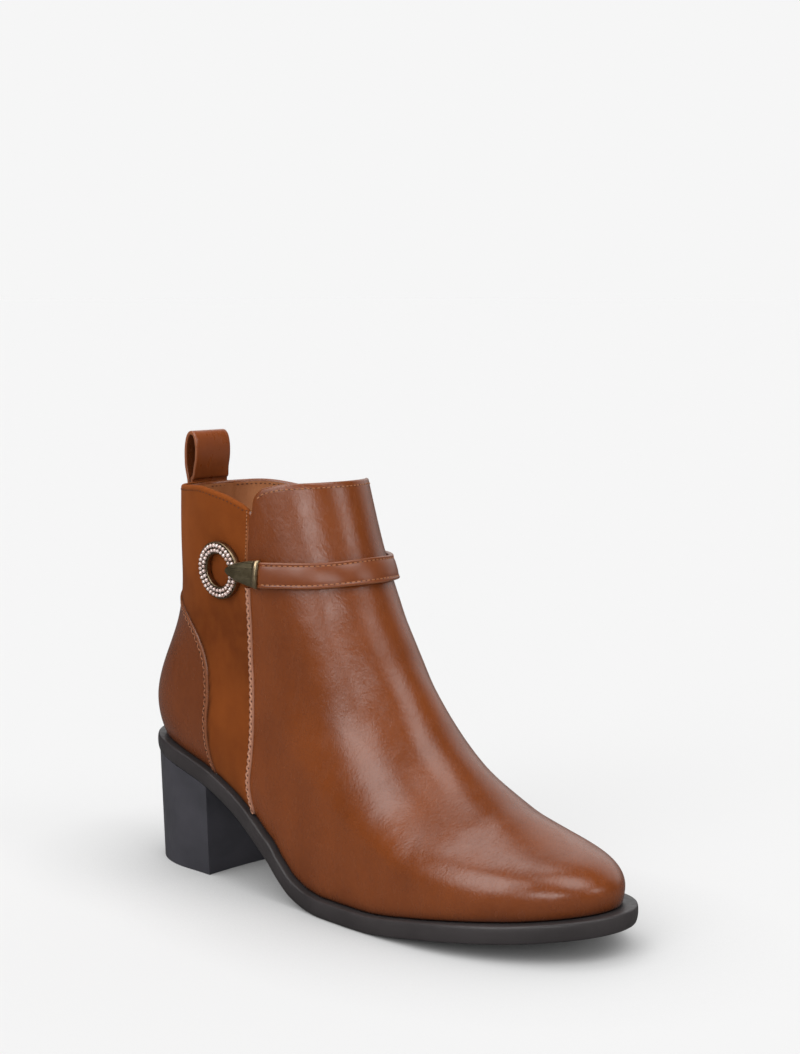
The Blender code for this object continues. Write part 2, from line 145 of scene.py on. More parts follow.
# Front edge of the suede side panel, from the sole up to the corner under the collar
SUEDE_FRONT = {
    "z": (34, 45.4, 59, 71.5, 89.1, 101.6, 118.1, 131, 144.2, 152, 160),
    "x": (86.6, 85.6, 87.4, 88.1, 87.8, 87.0, 86.5, 86.2, 86.2, 86.7, 86.8),
}
SUEDE_CORNER_RINGS = 0.42
SUEDE_FRONT_SEARCH = (0.3, 0.9)
SUEDE_CORE = (TOP_RING - 2.0, 0.3)
EDGE_SAMPLES = 500
SUEDE_SIZE = (75.0, 115.0)
SUEDE_DIVISIONS = (70, 100)
SUEDE_SETTLING = 25
SUEDE_LIFT = 0.32
# How much painted light and shade the suede gets at each height: lighter near the sole and the collar,
# darkest in between
SUEDE_PAINTED_LIGHT = {"z": (20, 68, 85, 105, 125, 155, 185), "light": (0.55, 0.62, 0.42, 0.0, 0.2, 0.75, 0.95)}
# The collar's edge drops where the suede's round corner meets the leather, and a little inside the front
COLLAR_NOTCH = {
    "x": (72.5, 76, 79.3, 82.1, 84.2, 85.2, 85.7, 86.4, 87.5, 89.4, 92),
    "drop": (0, 0.8, 2.3, 4.2, 6.6, 8.5, 9.0, 7, 3.6, 1.3, 0),
}
INNER_DROP = {"x": (74, 80, 86, 92, 98, 103, 106), "drop": (0, 0.7, 1.5, 1.8, 1.5, 0.7, 0)}
COLLAR_NOTCH_FROM = 6.8
# Front edge of the heel counter, from the sole up to its peak on the back seam
COUNTER_EDGE = {
    "z": (44, 54.5, 63.4, 72.3, 80.9, 91.5, 99.8, 107, 113.8, 120.8),
    "x": (60.6, 58.8, 58.3, 58.5, 59.5, 58.9, 56.7, 52.6, 45.7, 34.2),
}
COUNTER_PEAK_RISE = 5.0
COUNTER_CORE = (2.0, 0.05)
# Samples along the counter's edge: from its peak, down its front, and at its foot
COUNTER_PARTS = (59, 200, 11)
# How far in from its edge, and up to which heights, the counter covers the suede
COUNTER_COVER = (1, 4)
COUNTER_COVER_TOP = (113, 119)
# Where the counter's paler rim lies, how wide it is and how pale: a painted highlight along its folded edge
COUNTER_RIM_PLACE = 0.9
COUNTER_RIM_REACH = 0.75
COUNTER_RIM_HIGHLIGHT = 0.6
# Painted shadow on the suede beside the counter's raised edge
COUNTER_SHADOW_LINE = {"dark": 0.7, "reach": 0.9}
COUNTER_LIFT = {
    "from_edge": (0, 0.2, 0.55, 1.1, 1.7, 2.2, 3.0, 5.0, 12),
    "lift": (-0.2, 0.5, 0.9, 1.0, 0.88, 0.42, 0.45, 0.36, 0.3),
}

# Soft creases in the upper, by ring and place around it. A trough's depth is positive, a ridge's negative.
CREASES = {
    "name": (
        "ball_bend", "vamp_bend", "ankle_fold", "outer_fold", "outer_swell", "inner_fold", "shaft_swell"
    ),
    "path": (
        ((2.7, 0.70), (3.6, 0.86), (3.95, 1.0), (3.6, 1.14), (2.7, 1.30)),
        ((3.7, 0.72), (4.6, 0.88), (4.95, 1.0), (4.6, 1.12), (3.7, 1.28)),
        ((5.2, 0.76), (5.9, 0.9), (6.1, 1.0), (5.9, 1.1), (5.2, 1.24)),
        ((6.6, 0.83), (5.4, 0.82), (4.3, 0.83), (3.4, 0.86)),
        ((6.4, 0.72), (5.2, 0.70), (3.9, 0.71)),
        ((6.4, 1.2), (5.2, 1.24), (3.9, 1.27)),
        ((7.9, 0.80), (6.9, 0.79)),
    ),
    "half_width": (7, 8, 8, 6, 9, 9, 8),
    "depth": (0.35, 0.3, 0.45, 0.4, -0.35, 0.5, -0.25),
}

# Where the photograph was taken from, and how it was framed
VIEW_AZIMUTH = 45.0
VIEW_ELEVATION = 12.1
VIEW_DISTANCE = 850.0
VIEW_TARGET = (132.0, 0.0, 76.0)
IMAGE_SIZE = (800, 1054)
TARGET_PIXEL = (379.4, 724.1)
PIXELS_PER_MM = 2.376
SENSOR_WIDTH = 36.0
CLIP_END = 200

# Soft light panels round the boot: their direction, half size in degrees, and strength
LIGHT_PANELS = {
    "name": ("left", "low_front", "right", "low_right", "above", "behind"),
    "azimuth": (2, 45, 92, 108, 262, 205),
    "elevation": (38, 17, 61, 22, 70, 25),
    "half_width": (15, 14, 16, 9, 22, 40),
    "half_height": (24, 7.5, 22, 7, 12, 22),
    "strength": (4.5, 5.8, 3.7, 4.2, 3.2, 0.9),
}
PANEL_EDGE = (1.45, 0.5)
PANEL_LEAST_DEPTH = 0.05
SURROUND = 0.15
SURROUND_MIRRORED = 0.03
BACKDROP = 0.922


# Curves through table columns
def smooth(table_x, table_y, x):
    """A curve through the points that never overshoots between them."""
    table_x = np.asarray(table_x, float)
    table_y = np.asarray(table_y, float)
    step = np.diff(table_x)
    slope = np.diff(table_y) / step
    tangent = np.zeros(len(table_x))
    tangent[0] = slope[0]
    tangent[-1] = slope[-1]
    product = slope[:-1] * slope[1:]
    total = slope[:-1] + slope[1:]
    tangent[1:-1] = np.where(product > 0, 2 * product / np.where(total == 0, 1, total), 0)
    x = np.clip(x, table_x[0], table_x[-1])
    i = np.clip(np.searchsorted(table_x, x, side="right") - 1, 0, len(step) - 1)
    u = (x - table_x[i]) / step[i]
    rise = table_y[i] * (1 + 2 * u) * (1 - u) ** 2 + table_y[i + 1] * u * u * (3 - 2 * u)
    return rise + step[i] * (tangent[i] * u * (1 - u) ** 2 - tangent[i + 1] * u * u * (1 - u))


def read(table, column, x):
    """A table's column at places along the table's first column."""
    return smooth(next(iter(table.values())), table[column], x)


def flowing(points, samples):
    """A rounded curve through the points, as evenly numbered samples."""
    points = np.asarray(points, float)
    ends = np.vstack([2 * points[0] - points[1], points, 2 * points[-1] - points[-2]])
    place = np.linspace(0, len(points) - 1, samples)
    i = np.minimum(place.astype(int), len(points) - 2)
    u = (place - i)[:, None]
    a, b, c, d = ends[i], ends[i + 1], ends[i + 2], ends[i + 3]
    return 0.5 * (2 * b + (c - a) * u + (2 * a - 5 * b + 4 * c - d) * u**2 + (3 * b - a - 3 * c + d) * u**3)


def quarter_round(u):
    """Rises from 0 to 1 as a quarter circle does, and stays there."""
    return np.sqrt(1 - (1 - np.clip(u, 0, 1)) ** 2)


def ease(x, start, end):
    u = np.clip((x - start) / (end - start), 0, 1)
    return u * u * (3 - 2 * u)


def halved(low, high, below):
    """The value between low and high at which below stops being true."""
    for _ in range(HALVINGS):
        middle = (low + high) / 2
        under = below(middle)
        low, high = np.where(under, middle, low), np.where(under, high, middle)
    return (low + high) / 2


def together(*columns):
    """Points or places from their columns, which may be single values."""
    return np.stack(np.broadcast_arrays(*columns), axis=-1)


def unit(vectors):
    return vectors / np.linalg.norm(vectors, axis=-1, keepdims=True)


def cosine_stations(start, end, count):
    """Places from start to end, closer together towards both ends."""
    return start + (end - start) * (1 - np.cos(np.linspace(0, np.pi, count))) / 2


# The sole's shape
def sole_under(x):
    return read(SOLE_PROFILE, "z", x)


def sole_top(x):
    """Top of the sole, whose thickness is measured square to its slope."""
    slope = (sole_under(x + 1) - sole_under(x - 1)) / 2
    return sole_under(x) + SOLE_THICKNESS * np.sqrt(1 + slope**2)


def sole_middle(x):
    return read(SOLE_PLAN, "middle", x)


def sole_half(x, inset):
    """Half width of the sole's outline moved in by inset all round."""
    rear = quarter_round((x - inset) / (SOLE_REAR_ROUND - inset))
    toe = quarter_round((SOLE_LENGTH - inset - x) / (SOLE_TOE_ROUND - inset))
    return (read(SOLE_PLAN, "half", x) - inset) * rear * toe


def frame_origin():
    """Middle of the boot's box on the floor, which the sole's outline sets."""
    x = cosine_stations(0, SOLE_LENGTH, OUTLINE_SAMPLES)
    inner = (sole_middle(x) + sole_half(x, 0)).max()
    outer = (sole_middle(x) - sole_half(x, 0)).min()
    return np.array([SOLE_LENGTH / 2, (inner + outer) / 2, 0])


ORIGIN = frame_origin()


def to_world(points):
    return (np.asarray(points, float) - ORIGIN) * MM


def evened(values, reach):
    """Values averaged along their row, so that its line has no corners."""
    padded = np.pad(values, reach, mode="reflect", reflect_type="odd")
    window = np.hanning(2 * reach + 1)
    return np.convolve(padded, window / window.sum(), mode="valid")


# The surface of the upper
FINE_RINGS = {}
for column, values in UPPER_RINGS.items():
    if column != "ring":
        fine = smooth(np.arange(TOP_RING + 1), values, np.linspace(0, TOP_RING, RING_SAMPLES))
        FINE_RINGS[column] = evened(fine, round(RING_SOFTNESS * RING_SAMPLES / TOP_RING))


def ring_column(name, h):
    return np.interp(np.asarray(h) * (RING_SAMPLES - 1) / TOP_RING, np.arange(RING_SAMPLES), FINE_RINGS[name])


def collar_dip(x, side):
    depth = 0.0
    for row, sign in enumerate((-1, 1)):
        away = np.abs(x - COLLAR_DIP["middle_x"][row]) / COLLAR_DIP["reach"][row]
        depth = depth + np.where(side == sign, COLLAR_DIP["depth"][row] * (1 - ease(away, 0, 1)), 0)
    return depth


def skin(h, t):
    """Outer face of the upper. h counts rings from the sole to the collar. t goes 0 to 1 from the back seam
    along the outer side to the ridge, and 1 to 2 back along the inner side."""
    h, t = np.broadcast_arrays(np.asarray(h, float), np.mod(t, 2.0))
    side = np.where(t <= 1, -1.0, 1.0)
    along = np.where(t <= 1, t, 2 - t)
    back_x, front_x = ring_column("back_x", h), ring_column("front_x", h)
    back_lift, front_lift = ring_column("back_lift", h), ring_column("front_lift", h)
    back_z, front_z = sole_top(back_x) + back_lift, sole_top(front_x) + front_lift
    share = (1 - np.cos(np.pi * along)) / 2
    x = back_x + (front_x - back_x) * share
    level = back_z + (front_z - back_z) * share
    lift = back_lift + (front_lift - back_lift) * share
    follow = ring_column("follow", h)
    dip = collar_dip(x, side) * ease(h, COLLAR_DIP_FROM, TOP_RING)
    z = follow * (sole_top(x) + lift) + (1 - follow) * level - dip
    rear_half, ball_half = ring_column("rear_half", h), ring_column("ball_half", h)
    sole_spread = read(SOLE_PLAN, "half", x) - SOLE_PLAN["half"][0]
    sole_spread = sole_spread / (SOLE_PLAN["half"][-1] - SOLE_PLAN["half"][0])
    half = rear_half + (ball_half - rear_half) * (follow * sole_spread + (1 - follow) * ease(x, *FOOT_SPREAD))
    half = half * quarter_round((x - back_x) / ring_column("rear_round", h))
    half = half * quarter_round((front_x - x) / ring_column("front_round", h))
    swing = ring_column("swing", h)
    middle = (1 - swing) * sole_middle(x) * (1 - ease(h, *STRAIGHTENING_RINGS))
    middle = middle + swing * TOE_SWING * ease(x, TOE_SWING_FROM, SOLE_LENGTH)
    return together(x, middle + side * half, z)


def skin_slopes(h, t):
    """How the outer face moves for a step up the rings and for a step around them."""
    small = 0.004
    low, high = np.maximum(h - small, 0), np.minimum(h + small, TOP_RING)
    up = (skin(high, t) - skin(low, t)) / np.asarray(high - low)[..., None]
    around = (skin(h, t + small) - skin(h, t - small)) / (2 * small)
    return up, around


def skin_normal(h, t):
    """Outward direction of the upper's outer face."""
    up, around = skin_slopes(h, t)
    return unit(np.cross(around, up))


def lifted(h, t, lift):
    """Points this far off the upper's plain face, and the outward directions there."""
    out = skin_normal(h, t)
    return skin(h, t) + out * np.asarray(lift)[..., None], out


def shifted(h, t, move):
    """The place on the upper that lies a small move, in millimetres, away from (h, t)."""
    up, around = skin_slopes(h, t)
    a = (up * up).sum(-1)
    b = (up * around).sum(-1)
    c = (around * around).sum(-1)
    p = (up * move).sum(-1)
    q = (around * move).sum(-1)
    scale = a * c - b * b
    return np.clip(h + (c * p - b * q) / scale, 0, TOP_RING), t + (a * q - b * p) / scale


def ring_at_height(t, z):
    """The h at which the upper reaches the height z, for each t."""
    low, high = np.full(np.shape(t), float(LOWEST_SEARCHED_RING)), np.full(np.shape(t), float(TOP_RING))
    return halved(low, high, lambda h: skin(h, t)[..., 2] < z)


def outer_place(x, z):
    """(h, t) of the points on the outer side at these lengths and heights."""
    x = np.atleast_1d(np.asarray(x, float))
    z = np.atleast_1d(np.asarray(z, float))
    rings = np.linspace(0, TOP_RING, SEARCH_GRID[0])
    grid_h, grid_t = np.meshgrid(rings, np.linspace(*SEARCH_RANGE, SEARCH_GRID[1]), indexing="ij")
    grid = skin(grid_h, grid_t)
    away = (grid[None, ..., 0] - x[:, None, None]) ** 2 + (grid[None, ..., 2] - z[:, None, None]) ** 2
    nearest = away.reshape(len(x), -1).argmin(axis=1)
    h, t = grid_h.ravel()[nearest], grid_t.ravel()[nearest]
    for _ in range(SEARCH_STEPS):
        up, around = skin_slopes(h, t)
        here = skin(h, t)
        miss_x, miss_z = x - here[:, 0], z - here[:, 2]
        scale = up[:, 0] * around[:, 2] - up[:, 2] * around[:, 0]
        h = np.clip(h + (miss_x * around[:, 2] - miss_z * around[:, 0]) / scale, 0, TOP_RING)
        t = np.clip(t + (up[:, 0] * miss_z - up[:, 2] * miss_x) / scale, *SEARCH_LIMITS)
    return h, t


def ring_height_size(t):
    """Millimetres in one ring step just under the collar."""
    top = np.full(np.shape(t), float(TOP_RING))
    step = 0.1
    return np.linalg.norm(skin(top, t) - skin(top - step, t), axis=-1) / step


def collar_notch(t):
    """Rings by which the collar's edge drops at the suede's corner."""
    x = skin(np.full(np.shape(t), TOP_RING), t)[..., 0]
    outer = read(COLLAR_NOTCH, "drop", x)
    inner = read(INNER_DROP, "drop", x)
    return np.where(np.asarray(t) < 1, outer, inner) / ring_height_size(t)


def suede_drop(t):
    """The same drop as the suede follows it, which stays low past the notch's lowest point."""
    places = np.linspace(0, 1, COLLAR_SAMPLES)
    lowest = places[np.argmax(collar_notch(places))]
    return collar_notch(np.minimum(t, lowest))


def under_notch(levels, around):
    """Rings and places of a grid whose upper rows bend down under the collar's notch."""
    h, t = np.meshgrid(levels, around, indexing="ij")
    return h - collar_notch(around) * ease(h, COLLAR_NOTCH_FROM, TOP_RING), t


def nearest_distance(points, path):
    """Distance from each point to a path drawn through close-set points."""
    flat = points.reshape(-1, 3)
    best = np.full(len(flat), np.inf)
    for place in path:
        best = np.minimum(best, ((flat - place) ** 2).sum(-1))
    return np.sqrt(best).reshape(points.shape[:-1])


def run_along(points):
    """Distance from the start of a path at each of its points."""
    return np.concatenate([[0], np.cumsum(np.linalg.norm(np.diff(points, axis=0), axis=1))])


def at_marks(marks, run, *columns):
    """Each column's values at these distances along a path."""
    return [np.interp(marks, run, column) for column in columns]


def paced(h, t, pitch):
    """Places a pitch apart along a path on the upper, half a pitch in from its ends."""
    run = run_along(skin(h, t))
    count = max(2, int(round(run[-1] / pitch)))
    return at_marks((np.arange(count) + 0.5) * run[-1] / count, run, h, t)


def evenly(h, t, samples):
    """Evenly spaced places along a path on the upper, its ends among them."""
    run = run_along(skin(h, t))
    return at_marks(np.linspace(0, run[-1], samples), run, h, t)


def inward_from(h, t, core):
    """Directions on the upper's face from a path towards a core point, square to the path."""
    edge = skin(h, t)
    inward = np.cross(along_path(edge), skin_normal(h, t))
    return inward * np.sign(((core - edge) * inward).sum(-1))[:, None]


def leather_form(h, t):
    """How far the creases push the upper's face in or out."""
    face = skin(h, t)
    form = np.zeros(face.shape[:-1])
    for path, half_width, depth in zip(CREASES["path"], CREASES["half_width"], CREASES["depth"]):
        places = flowing(path, CREASE_SAMPLES)
        away = nearest_distance(face, skin(places[:, 0], places[:, 1]))
        form = form - depth * np.exp(-((away / half_width) ** 2))
    return form


def on_upper(h, t, lift):
    """The same off its creased face."""
    return lifted(h, t, lift + leather_form(h, t))


def surface_chart(h, t):
    """Flat coordinates of places on the upper, in chart units around it and up it."""
    levels, places = [np.linspace(0, end, cells + 1) for end, cells in zip((TOP_RING, 2), CHART_CELLS)]
    grid = skin(levels[:, None], places[None, :])
    around = np.cumsum(np.linalg.norm(np.diff(grid, axis=1, prepend=grid[:, :1]), axis=-1), axis=1)
    up = np.cumsum(np.linalg.norm(np.diff(grid, axis=0, prepend=grid[:1]), axis=-1), axis=0)
    row = np.clip(h / TOP_RING * CHART_CELLS[0], 0, CHART_CELLS[0] - CHART_MARGIN)
    column = np.clip(t / 2 * CHART_CELLS[1], 0, CHART_CELLS[1] - CHART_MARGIN)
    i, j = row.astype(int), column.astype(int)
    u, v = row - i, column - j

    def between(table):
        low = table[i, j] * (1 - v) + table[i, j + 1] * v
        high = table[i + 1, j] * (1 - v) + table[i + 1, j + 1] * v
        return low * (1 - u) + high * u

    return together(between(around), between(up)) / CHART_UNIT


# Making pieces
def put_in_scene(name, data):
    made = bpy.data.objects.new(name, data)
    bpy.context.scene.collection.objects.link(made)
    return made


def declare(made, slot, *nodes):
    """Makes a piece ride on the boot and hides the solids that it stands for. The slot is not used."""
    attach(made, "root")
    if nodes:
        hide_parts(*nodes)


def add_piece(name, mesh, finish, slot, *nodes):
    """Puts a finished mesh in the scene as a piece that stands for these solids."""
    mesh.materials.append(finish)
    declare(put_in_scene(name, mesh), slot, *nodes)


def keep_values(mesh, field, kind, values):
    """Keeps a value at each of a mesh's points."""
    made = mesh.attributes.new(field, kind, "POINT")
    made.data.foreach_set("value" if kind == "FLOAT" else "vector", np.asarray(values, float).ravel())


def one_face(count):
    """Closes a ring of points with one face."""
    return [list(range(count))]


def strips_across(count):
    """Closes a ring that runs along one side and back along the other with faces from side to side."""
    sides = [(i, i + 1, (count - i - 1) % count, (count - i) % count) for i in range(count // 2)]
    return [list(dict.fromkeys(corners)) for corners in sides]


def grid_mesh(name, rows, wrap=False, flip=False, chart=None, caps=None, **fields):
    """Quads between rows of points. With wrap, each row closes on itself, and caps gives the faces that fill
    the end rows. chart gives flat coordinates, with one more column than a row that wraps. Fields are kept at
    the points."""
    rows = np.asarray(rows, float)
    last, count = len(rows) - 1, rows.shape[1]
    columns = range(count if wrap else count - 1)
    places = [[(r, c), (r, c + 1), (r + 1, c + 1), (r + 1, c)] for r in range(last) for c in columns]
    for ends in caps(count) if caps else ():
        places.append([(last, c) for c in ends])
        places.append([(0, c) for c in ends[::-1]])
    if flip:
        places = [face[::-1] for face in places]
    mesh = bpy.data.meshes.new(name)
    faces = [[r * count + c % count for r, c in face] for face in places]
    mesh.from_pydata(to_world(rows).reshape(-1, 3).tolist(), [], faces)
    mesh.validate()
    mesh.shade_smooth()
    if chart is not None:
        corners = np.array([place for face in places for place in face])
        layer = mesh.uv_layers.new(name="Surface")
        layer.data.foreach_set("uv", chart[corners[:, 0], corners[:, 1]].ravel())
    for field, values in fields.items():
        keep_values(mesh, field, "FLOAT", values)
    return mesh


def merged(mesh):
    """Makes one point of those that fall together."""
    shape = bmesh.new()
    shape.from_mesh(mesh)
    bmesh.ops.remove_doubles(shape, verts=shape.verts, dist=MERGE_DISTANCE)
    shape.to_mesh(mesh)
    shape.free()
    return mesh


def settled(made):
    """Turns an object's modifiers into a plain mesh."""
    evaluated = made.evaluated_get(bpy.context.evaluated_depsgraph_get())
    mesh = bpy.data.meshes.new_from_object(evaluated)
    made.modifiers.clear()
    made.data = mesh


def plate_frame(origin, forward, outward):
    """A placing matrix with its x axis along forward and its z axis as near outward as that allows."""
    forward = Vector(forward).normalized()
    outward = Vector(outward)
    outward = (outward - forward * outward.dot(forward)).normalized()
    sideways = outward.cross(forward)
    matrix = Matrix((forward, sideways, outward)).transposed().to_4x4()
    matrix.translation = Vector(origin)
    return np.array(matrix)


def placed(points, matrix):
    return np.asarray(points, float) @ matrix[:3, :3].T + matrix[:3, 3]


# Finishes

# The part of a noise's range that is spread over a whole change, for fine grain and for soft clouds
NOISE_SPAN = (0.3, 0.7)
CLOUD_SPAN = (0.35, 0.65)
# Paler colour at rims: paler cut edges on the strap and loop, painted highlight on the collar roll, the
# suede's edge and the counter's folded edge
RIM_COLOUR = (0.27, 0.105, 0.05)
# Colour of painted shade where the upper meets the sole and in other shaded places
PAINTED_SHADE_COLOUR = (0.018, 0.006, 0.003)
POLISHED_BRASS = (0.5, 0.38, 0.23)


def add_node(tree, kind, inputs, output=0, **settings):
    """Adds a node to a tree, sets or links its inputs, and gives back one of its outputs."""
    made = tree.nodes.new(kind)
    for setting, value in settings.items():
        setattr(made, setting, value)
    for socket, value in inputs.items():
        if isinstance(value, bpy.types.NodeSocket):
            tree.links.new(value, made.inputs[socket])
        else:
            made.inputs[socket].default_value = value
    return made.outputs[output]


class Finish:
    """A material built from nodes on one Principled shader."""

    def __init__(self, name, **values):
        self.material = bpy.data.materials.new(name)
        self.material.use_nodes = True
        self.tree = self.material.node_tree
        self.add = partial(add_node, self.tree)
        self.shader = self.tree.nodes["Principled BSDF"]
        self.coordinates = self.tree.nodes.new("ShaderNodeTexCoord")
        for socket, value in values.items():
            self.shader.inputs[socket.replace("_", " ")].default_value = value

    def made(self, **links):
        """Links values to the shader's sockets, and gives back the material."""
        for socket, value in links.items():
            self.tree.links.new(value, self.shader.inputs[socket.replace("_", " ")])
        return self.material

    def place(self, stretch, source):
        """Coordinates in units of the given sizes in millimetres, on the object or on its chart."""
        unit_size = 1 / MM if source == "Object" else CHART_UNIT
        scale = [unit_size / size for size in stretch]
        return self.add("ShaderNodeMapping", {"Vector": self.coordinates.outputs[source], "Scale": scale})

    def noise(self, stretch, detail=3.0, roughness=0.5, source="Object", waviness=0.0):
        inputs = {"Vector": self.place(stretch, source), "Scale": 1.0, "Distortion": waviness}
        return self.add("ShaderNodeTexNoise", {**inputs, "Detail": detail, "Roughness": roughness})

    def cells(self, size):
        place = self.place((size, size, size), "Object")
        return self.add("ShaderNodeTexVoronoi", {"Vector": place, "Scale": 1.0})

    def spread(self, value, low, high, start=0.0, end=1.0):
        inputs = {"Value": value, "From Min": low, "From Max": high, "To Min": start, "To Max": end}
        return self.add("ShaderNodeMapRange", inputs)

    def field(self, name):
        return self.add("ShaderNodeAttribute", {}, output=2, attribute_name=name)

    def mix(self, factor, *colours):
        first, second = [(*colour, 1) if isinstance(colour, tuple) else colour for colour in colours]
        return self.add("ShaderNodeMix", {0: factor, 6: first, 7: second}, output=2, data_type="RGBA")

    def math(self, operation, first, second):
        return self.add("ShaderNodeMath", {0: first, 1: second}, operation=operation)

    def bump(self, height, depth, strength=1.0, under=None):
        """A bump as deep as depth in millimetres, over an earlier bump."""
        inputs = {"Height": height, "Distance": depth * MM, "Strength": strength}
        if under is not None:
            inputs["Normal"] = under
        return self.add("ShaderNodeBump", inputs)

    def clouded(self, stretch, deep, body, span=CLOUD_SPAN, detail=3.0):
        """A colour that changes in soft clouds."""
        return self.mix(self.spread(self.noise(stretch, detail), *span), deep, body)

    def gloss(self, stretch, roughness, span=NOISE_SPAN, detail=3.0):
        """Roughness that changes over a range in patches."""
        return self.spread(self.noise(stretch, detail), *span, *roughness)

    def toned(self, colour, paleness):
        """A colour made paler at rims, as paler cut edges and as painted highlight, and darker by painted
        shade where the upper meets the sole and in other shaded places.
        """
        colour = self.mix(self.math("MULTIPLY", self.field("rim"), paleness), colour, RIM_COLOUR)
        return self.mix(self.field("foot_shade"), colour, PAINTED_SHADE_COLOUR)


def leather_finish(name, deep, body, pale, roughness=(0.2, 0.31), wrinkled=True):
    """Polished leather: cloudy colour, pores, fine wrinkles that follow the surface, paler rims that are
    partly painted highlight, and painted shade.
    """
    finish = Finish(name, Specular_IOR_Level=0.5, Coat_Weight=0.03, Coat_Roughness=0.2)
    colour = finish.clouded((26, 26, 34), deep, body, (0.34, 0.66), detail=4)
    specks = finish.spread(finish.noise((1.6, 1.6, 2.2)), *NOISE_SPAN, 0, 0.2)
    # Paler rims, partly painted highlight, and painted shade
    colour = finish.toned(finish.mix(specks, colour, pale), 0.75)
    normal = finish.bump(finish.noise((0.5, 0.5, 0.6), detail=2), 0.03, 0.12)
    if wrinkled:
        wrinkles = finish.noise((1.2, 2.3, 1), source="UV", waviness=0.8)
        normal = finish.bump(wrinkles, 0.16, 0.6, normal)
        normal = finish.bump(finish.noise((9, 13, 1), detail=1, source="UV"), 0.55, 0.35, normal)
    gloss = finish.gloss((4, 4, 7), roughness, (0.25, 0.75))
    return finish.made(Base_Color=colour, Roughness=gloss, Normal=normal)


def suede_finish(name):
    """Brushed suede in soft patches and strokes, with no gloss, lighter or darker by height as painted light
    and shade.
    """
    sheen = {"Sheen_Weight": 0.04, "Sheen_Roughness": 0.45, "Sheen_Tint": (0.95, 0.55, 0.3, 1)}
    finish = Finish(name, Roughness=0.9, Specular_IOR_Level=0.06, **sheen)
    patches = finish.spread(finish.noise((21, 21, 24)), 0.36, 0.64, -0.27, 0.27)
    strokes = finish.spread(finish.noise((4.5, 4.5, 6), detail=2), *CLOUD_SPAN)
    fibres = finish.noise((0.42, 0.7, 1), roughness=0.6, source="UV")
    # Painted light and shade by height, added to the random patches
    lightness = finish.math("ADD", finish.field("painted_light"), patches)
    colour = finish.mix(lightness, (0.122, 0.0285, 0.0055), (0.232, 0.0575, 0.0105))
    colour = finish.mix(finish.math("MULTIPLY", strokes, 0.26), colour, (0.215, 0.057, 0.0112))
    colour = finish.mix(finish.spread(fibres, *NOISE_SPAN, 0, 0.22), colour, (0.09, 0.02, 0.004))
    normal = finish.bump(strokes, 0.1, 0.4, finish.bump(fibres, 0.16, 0.6))
    # Paler rim as painted highlight, and painted shade at the sole and beside the counter
    return finish.made(Base_Color=finish.toned(colour, 0.8), Normal=normal)


def cloth_finish(name, deep, body, roughness, grain):
    """A dull fine-grained sheet, used for lining and sock."""
    finish = Finish(name, Specular_IOR_Level=0.3)
    colour = finish.clouded((14, 14, 20), deep, body)
    gloss = finish.gloss((3, 3, 3), roughness, detail=2)
    return finish.made(Base_Color=colour, Roughness=gloss, Normal=finish.bump(finish.cells(grain), 0.08, 0.6))


def thread_finish(name, deep, body):
    """Twisted thread: fine slanting strands."""
    finish = Finish(name, Roughness=0.62, Specular_IOR_Level=0.3)
    strands = finish.noise((0.25, 0.25, 0.12), detail=2)
    colour = finish.mix(finish.spread(strands, *NOISE_SPAN), deep, body)
    return finish.made(Base_Color=colour, Normal=finish.bump(strands, 0.06, 0.6))


def rubber_finish(name, deep, body, roughness):
    """Moulded rubber or plastic: faint clouds, fine pebble and scuffs in its gloss."""
    finish = Finish(name, Specular_IOR_Level=0.35)
    colour = finish.clouded((30, 30, 18), deep, body)
    gloss = finish.gloss((2.2, 2.2, 6), roughness, detail=4)
    normal = finish.bump(finish.noise((0.5, 0.5, 0.5), detail=2), 0.04, 0.5)
    normal = finish.bump(finish.noise((9, 9, 9), detail=1), 0.25, 0.3, normal)
    return finish.made(Base_Color=colour, Roughness=gloss, Normal=normal)


def brass_finish(name, deep, body, roughness, brush):
    """Aged metal: brushed lines, darker in its hollows and polished on its raised rim."""
    finish = Finish(name, Metallic=1.0)
    lines = finish.noise(brush)
    colour = finish.clouded((3.5, 3.5, 3.5), deep, body, (0.35, 0.68))
    colour = finish.mix(finish.field("rim"), colour, POLISHED_BRASS)
    gloss = finish.spread(lines, *NOISE_SPAN, *roughness)
    return finish.made(Base_Color=colour, Roughness=gloss, Normal=finish.bump(lines, 0.035, 0.5))


def crystal_finish(name):
    """Pale rose crystal, bright on its facets."""
    finish = Finish(name, Specular_IOR_Level=0.9, Coat_Weight=1.0, Coat_Roughness=0.03, Metallic=0.35)
    colour = finish.clouded((1.3, 1.3, 1.3), (0.62, 0.40, 0.34), (0.98, 0.86, 0.82), detail=1)
    return finish.made(Base_Color=colour, Roughness=finish.gloss((2, 2, 2), (0.04, 0.16), detail=1))


TAN_LEATHER = leather_finish(
    "tan_leather", (0.138, 0.0315, 0.006), (0.178, 0.0425, 0.0084), (0.205, 0.056, 0.0135)
)
